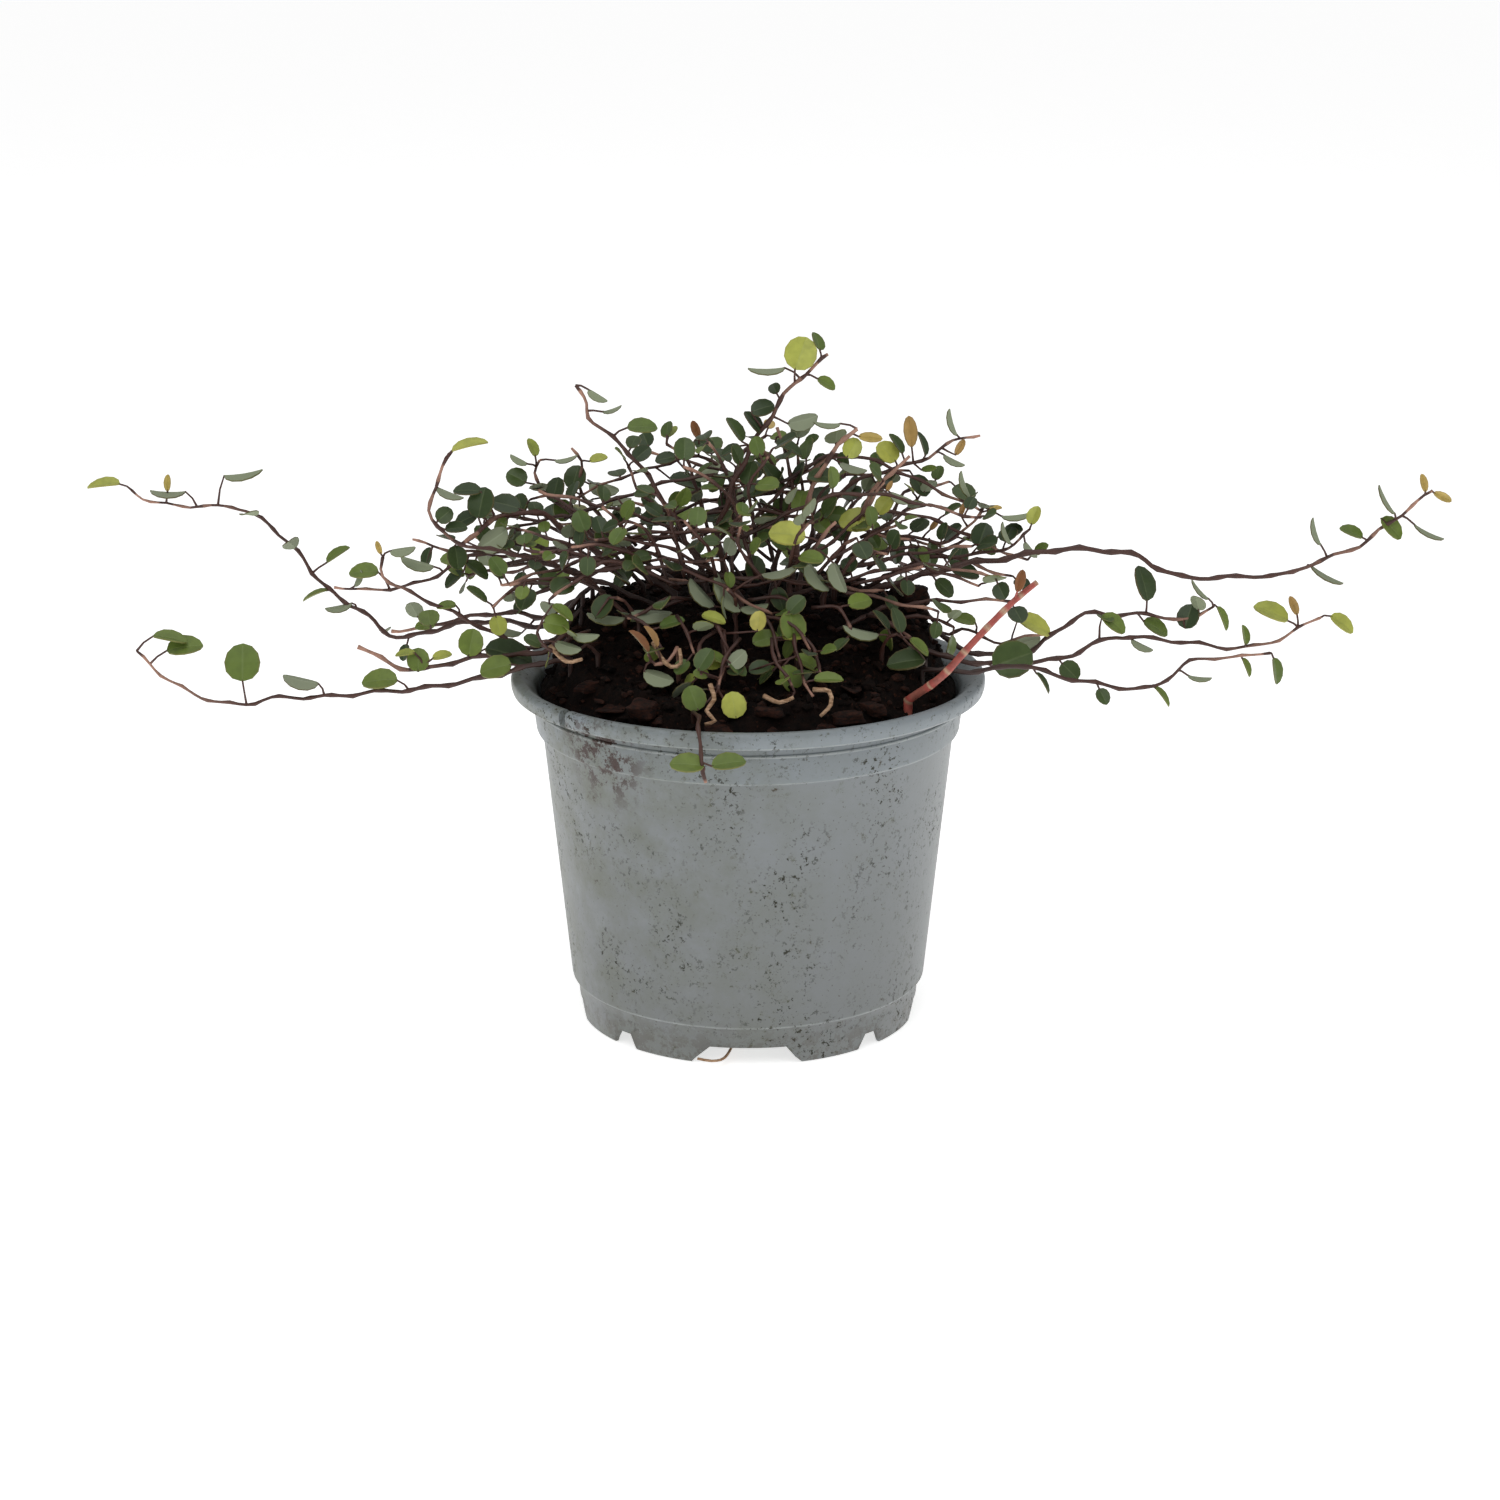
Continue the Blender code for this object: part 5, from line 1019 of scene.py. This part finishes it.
def leaf_patterns():
    """The three blades: round, oval, and the folded young one."""
    round_rows = [0.10, 0.52, 0.84, 0.93, 0.80, 0.47, 0.05]
    oval_rows = [0.08, 0.40, 0.68, 0.78, 0.66, 0.37, 0.04]
    young_rows = [0.06, 0.22, 0.37, 0.43, 0.36, 0.20, 0.02]
    made = {
        "round": leaf_pattern("round_leaf", round_rows, 0.16, 0.10),
        "oval": leaf_pattern("oval_leaf", oval_rows, 0.26, 0.16),
        "young": leaf_pattern("young_leaf", young_rows, 0.75, 0.12),
    }
    return {key: finish_pattern(leaf) for key, leaf in made.items()}, list(made.values())


def blade_object(pattern, base, along, normal, length, tint, rng):
    """A copy of a blade, put at its base and turned; tint is 0 dark green to 1 brown."""
    side = along.cross(normal).normalized()
    up = side.cross(along).normalized()
    frame3 = Matrix((side, along, up)).transposed().to_4x4()
    wide = rng.uniform(0.94, 1.06)
    mesh = pattern.copy()
    mesh.transform(Matrix.Translation(base) @ frame3 @ Matrix.Diagonal((length * wide, length, length, 1)))
    values = [min(1.0, max(0.0, tint))] * len(mesh.polygons)
    mesh.attributes["tint"].data.foreach_set("value", values)
    return bpy.data.objects.new("leaf", mesh)


TINTS = {"d": 0.04, "g": 0.36, "y": 0.68, "o": 0.88, "b": 1.0, "p": 0.12}


def drawn_leaf(spec, points):
    """(stem point, base, along, normal, length, kind, tint) of a leaf given on the drawing plane."""
    across, up, heading, length, seen_width, tint = spec
    turn = math.radians(heading)
    along = VIEW_RIGHT * math.cos(turn) + VIEW_UP * math.sin(turn)
    flat = VIEW_AWAY.cross(along).normalized()
    kind = "young" if tint in "ob" or length < 4.5 else ("round" if seen_width / length > 0.68 else "oval")
    aspect = {"young": YOUNG_ASPECT, "round": ROUND_ASPECT, "oval": OVAL_ASPECT}[kind]
    roll = math.acos(min(1.0, seen_width / (aspect * length)))
    target = placed(across, up, 0.0) - along * (length / 2 + 2.0)
    stem_point = min(points, key=lambda p: (seen(p) - target).length)
    centre = lifted(placed(across, up, stem_point.y), 2.5)
    best = None
    for sign in (1, -1):
        side = flat * math.cos(sign * roll) + VIEW_AWAY * math.sin(sign * roll)
        normal = along.cross(side).normalized()
        if (normal.dot(VIEW_AWAY) > 0) != (tint == "p"):
            normal = -normal
        if best is None or abs(normal.z) > abs(best.z):
            best = normal
    return stem_point, centre - along * (length / 2), along, best, length, kind, TINTS[tint]


def grown_leaf(point, tangent, side_sign, youth, rng):
    """A leaf that the stem bears at a joint, on alternate sides."""
    round_stem = tangent.cross(Vector((0, 0, 1)))
    round_stem = (round_stem if round_stem.length > 0.2 else VIEW_RIGHT).normalized()
    turn = rng.uniform(-1.3, 1.3) + (0 if side_sign > 0 else math.pi)
    outward = Matrix.Rotation(turn, 3, tangent) @ round_stem
    along = (tangent * rng.uniform(0.1, 0.7) + outward + Vector((0, 0, rng.uniform(-0.2, 0.5)))).normalized()
    loose = Vector((rng.uniform(-0.7, 0.7), rng.uniform(-1.0, 0.3), 1.0))
    normal = (loose - along * loose.dot(along)).normalized()
    length = rng.uniform(4.6, 7.2) * (1.0 - 0.3 * youth)
    kind = "round" if rng.random() < 0.55 else "oval"
    tint = rng.choice([0.0, 0.03, 0.08, 0.14, 0.2, 0.34]) if youth < 0.75 else rng.choice([0.3, 0.6, 0.85])
    return point, point + along * rng.uniform(1.6, 3.0), along, normal, length, kind, tint


# ---------------------------------------------------------------- stems
def tube_mesh_object(name, strands):
    """Round tapering tubes along poly lines, with how young each point is kept as an attribute."""
    curve = bpy.data.curves.new(name, "CURVE")
    curve.dimensions = "3D"
    curve.bevel_depth = 1.0
    curve.bevel_resolution = 2
    curve.use_fill_caps = True
    total = sum(len(points) for points, _, _ in strands)
    tree = kdtree.KDTree(total)
    youths = []
    for points, radii, ages in strands:
        line = curve.splines.new("POLY")
        line.points.add(len(points) - 1)
        for knot, position, radius, youth in zip(line.points, points, radii, ages):
            knot.co = (*position, 1.0)
            knot.radius = radius
            tree.insert(position, len(youths))
            youths.append(youth)
    tree.balance()
    tube = bpy.data.objects.new(name, curve)
    bpy.context.scene.collection.objects.link(tube)
    only(tube)
    bpy.ops.object.convert(target="MESH")
    tube = bpy.context.object
    bm = bmesh.new()
    bm.from_mesh(tube.data)
    bmesh.ops.remove_doubles(bm, verts=bm.verts, dist=0.0005)
    bm.to_mesh(tube.data)
    bm.free()
    mark = tube.data.attributes.new("youth", "FLOAT", "POINT")
    mark.data.foreach_set("value", [youths[tree.find(v.co)[1]] for v in tube.data.vertices])
    bpy.ops.object.shade_smooth()
    return tube


def jointed(points, thick, thin, rng, young_from=0.0, zigzag=ZIGZAG, swelling=SWELLING):
    """A stem's points with the slight zigzag of its joints, its radii, and where the joints are."""
    gone, joints, bend, next_joint = 0.0, [], 0.0, INTERNODE
    bent, radii, ages = [], [], []
    total = sum((b - a).length for a, b in zip(points, points[1:]))
    for index, point in enumerate(points):
        if index:
            gone += (point - points[index - 1]).length
        share = gone / total
        wave = abs((gone / INTERNODE) % 2.0 - 1.0) - 0.5
        tangent = (points[min(index + 1, len(points) - 1)] - points[max(index - 1, 0)]).normalized()
        across = tangent.cross(VIEW_AWAY)
        bent.append(point + across * (wave * zigzag if index > 4 else 0.0))
        radius = thick + (thin - thick) * share
        if gone >= next_joint:
            joints.append(index)
            next_joint += INTERNODE * rng.uniform(0.85, 1.15)
            radius *= swelling
        radii.append(radius)
        ages.append(young_from + (1.0 - young_from) * share)
    return bent, radii, ages, joints


def petiole(stem_point, base, along):
    """The stalk from the stem to the blade, as a strand."""
    middle = stem_point.lerp(base, 0.5) - along * 0.3 + Vector((0, 0, 0.25))
    end = base + along * 0.5
    radii = [PETIOLE_RADIUS * 1.3, PETIOLE_RADIUS, PETIOLE_RADIUS, 0.2]
    return [stem_point, middle, base, end], radii, [0.5, 0.6, 0.75, 0.8]


def build_shoot(name, stems, leaves, patterns, materials, rng):
    """One object of tubes, stalks and blades."""
    strands = [(points, radii, ages) for points, radii, ages, _ in stems]
    blades = []
    for stem_point, base, along, normal, length, kind, tint in leaves:
        strands.append(petiole(stem_point, base, along))
        varied = tint + rng.gauss(0.0, TINT_SPREAD)
        blades.append(blade_object(patterns[kind], base, along, normal, length, varied, rng))
    tube = tube_mesh_object(name, strands)
    tube.data.materials.append(materials[0])
    tube.data.materials.append(materials[1])
    bpy.ops.object.select_all(action="DESELECT")
    for blade in blades:
        blade.data.materials.clear()
        blade.data.materials.append(materials[1])
        bpy.context.scene.collection.objects.link(blade)
        blade.select_set(True)
    tube.select_set(True)
    bpy.context.view_layer.objects.active = tube
    if blades:
        bpy.ops.object.join()
    return finish_piece(tube, name, None)


def grown_along(stem, explicit, chance, rng, start=0.3):
    """Leaves at the joints of a stem that have no drawn leaf near them."""
    points, _, ages, joints = stem
    made = []
    for turn, index in enumerate(joints):
        point = points[index]
        if index < start * len(points) or rng.random() > chance(seen(point)):
            continue
        if any((point - leaf[0]).length < 2.5 for leaf in explicit):
            continue
        tangent = (points[min(index + 1, len(points) - 1)] - points[index - 1]).normalized()
        made.append(grown_leaf(point, tangent, 1 if turn % 2 else -1, ages[index] ** 2 * 0.8, rng))
    return made


def crown_chance(point):
    """How likely a joint bears a leaf: the crown is leafy and the runners are sparse."""
    return CROWN_LEAFINESS if abs(point.x) < 70 and point.z > 110 else RUNNER_LEAFINESS


def make_plant(patterns, leaf, stem, red_stem):
    rng = random.Random(SEED)
    for name, shoot in SHOOTS.items():
        x, y = shoot["root"]
        ground = soil_height(x, y)
        start = [Vector((x, y, ground - 4.0)), Vector((x, y, ground - 1.0))]
        route = start + spline([Vector((x, y, ground + 3.0))] + [placed(*p) for p in shoot["route"]], 2.0)
        thick, thin = (STEM_SLIM * radius for radius in shoot["radius"])
        if name == RED_SHOOT:  # straight and smooth, with a pale band at each joint
            stem_line = jointed(route, thick, thin, rng, zigzag=0.0, swelling=RED_SHOOT_SWELLING)
            ages, joints = stem_line[2:]
            for i, age in enumerate(ages):
                ages[i] = 1.0 if i in joints or age >= 1.0 else min(age, RED_SHOOT_YOUTH)
        else:
            stem_line = jointed(route, thick, thin, rng, YOUNG_SHOOTS.get(name, 0.0))
        explicit = [drawn_leaf(spec, stem_line[0][4:]) for spec in shoot["leaves"]]
        others = grown_along(stem_line, explicit, crown_chance, rng)
        bark = red_stem if name == RED_SHOOT else stem
        piece = build_shoot(name + "_look", [stem_line], explicit + others, patterns, (bark, leaf), rng)
        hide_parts(name)
    for name, twigs in TWIGS.items():
        stems, leaves = [], []
        for x0, z0, x1, z1, behind in twigs:
            a, c = placed(x0, z0, behind * 0.7), placed(x1, z1, behind)
            sag = (c - a).length * 0.17
            bow = Vector((rng.uniform(-sag, sag), rng.uniform(-2, 2), rng.uniform(0, sag * 1.4)))
            middle = a.lerp(c, 0.5) + bow
            twig = jointed(spline([a, middle, c], 2.0), *TWIG_RADII, rng, 0.2)
            stems.append(twig)
            leafy = WIRE_LEAFINESS if name == "crossing_wires" else TWIG_LEAFINESS
            borne = grown_along(twig, [], lambda p: leafy, rng, 0.0)
            if name == "fine_twigs_front":
                borne = [(*grown[:-1], rng.choice(SHADED_TINTS)) for grown in borne]
            leaves += borne
            tip = twig[0][-1]
            leaves.append(grown_leaf(tip, (tip - twig[0][-3]).normalized(), 1, 0.3, rng))
        piece = build_shoot(name, stems, leaves, patterns, (stem, leaf), rng)


def make_loose_bits(patterns, dry_leaf, straw, rng):
    """Dry leaves and stalks on the peat, and the root that has come out between the feet."""
    for number, (x, y, length, turn) in enumerate(DRY_LEAVES):
        angle = math.radians(turn)
        along = Vector((math.cos(angle), math.sin(angle), 0.06)).normalized()
        base = Vector((x, y, soil_height(x, y) + 1.2)) - along * (length / 2)
        blade = blade_object(patterns["oval"], base, along, Vector((0.2, -0.3, 1)), length, 1.0, rng)
        bpy.context.scene.collection.objects.link(blade)
        finish_piece(blade, f"fallen_leaf_{number + 1}", [dry_leaf])
        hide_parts(f"dry_leaf_{number + 1}")
    points = spline([Vector(point) for point in ROOT_ROUTE], 1.5)
    stalks = []
    for drawn in DRIED_STALKS:
        stalk = spline([lifted(placed(*point), 0.8) for point in drawn], 1.5)
        stalks.append((stalk, [0.62 - 0.2 * i / len(stalk) for i in range(len(stalk))], [0.9] * len(stalk)))
    dried = tube_mesh_object("dried_stalks", stalks)
    finish_piece(dried, "dried_stalks", [straw])
    root = tube_mesh_object("thin_root", [(points, [0.35] * len(points), [0.9] * len(points))])
    finish_piece(root, "thin_root", [straw])
    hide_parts("stray_root")


# ---------------------------------------------------------------- floor, light and camera
def make_studio():
    bpy.ops.mesh.primitive_plane_add(size=40.0, location=(0, 0, -0.0002))
    floor = bpy.context.object
    floor.name = "studio_floor"
    material, tree, shader = start_material("white_paper_floor", 0.9)
    where = add(tree, "ShaderNodeTexCoord").outputs["Object"]
    paper = mix(tree, grain(tree, where, 40.0), linear("#fbfbfb"), linear("#ffffff"))
    tree.links.new(paper, shader.inputs["Base Color"])
    shader.inputs["Emission Color"].default_value = (1, 1, 1, 1)
    shader.inputs["Emission Strength"].default_value = FLOOR_GLOW
    floor.data.materials.append(material)
    world = bpy.data.worlds.new("studio")
    bpy.context.scene.world = world
    world.use_nodes = True
    backdrop = world.node_tree.nodes["Background"]
    backdrop.inputs["Color"].default_value = (1, 1, 1, 1)
    backdrop.inputs["Strength"].default_value = STUDIO_LIGHT
    for name, (spot, size, watts) in LAMPS.items():
        light = bpy.data.lights.new(name, "AREA")
        light.size = size
        light.energy = watts
        lamp = bpy.data.objects.new(name, light)
        lamp.location = spot
        lamp.rotation_euler = (Vector((0, 0, 0.08)) - Vector(spot)).to_track_quat("-Z", "Y").to_euler()
        bpy.context.scene.collection.objects.link(lamp)
    camera = bpy.data.cameras.new("camera")
    camera.lens = LENS
    camera.shift_x = LENS_SHIFT
    eye = bpy.data.objects.new("camera", camera)
    eye.location = SIGHT * MM
    eye.rotation_euler = (math.pi / 2 - SIGHT_PITCH, 0.0, 0.0)
    bpy.context.scene.collection.objects.link(eye)
    bpy.context.scene.camera = eye
    bpy.context.scene.view_settings.view_transform = "Standard"


def main():
    rng = random.Random(SEED + 1)
    leaf = leaf_material()
    stem = stem_material("wiry_bark", "#24140f", "#4c2d24", "#b98c78")
    red_stem = stem_material("young_red_bark", "#93604f", "#a84f45", "#c4a184")
    peat = peat_material()
    bark = bark_material("pine_bark", "#0f0806", "#371c12")
    straw = bark_material("dry_root", "#8a6a50", "#c8a687")
    make_pot(pot_material())
    make_peat(peat)
    scatter_crumbs("peat_crumbs", 900, (0.9, 2.4), peat, rng)
    scatter_crumbs("peat_clods", 170, (2.6, 5.0), peat, rng)
    scatter_crumbs("bark_shreds", 330, (1.4, 4.2), bark, rng)
    make_chips(bark, rng)
    patterns, models = leaf_patterns()
    make_plant(patterns, leaf, stem, red_stem)
    make_loose_bits(patterns, bark, straw, rng)
    for model in models:
        bpy.data.objects.remove(model, do_unlink=True)
    make_studio()


main()
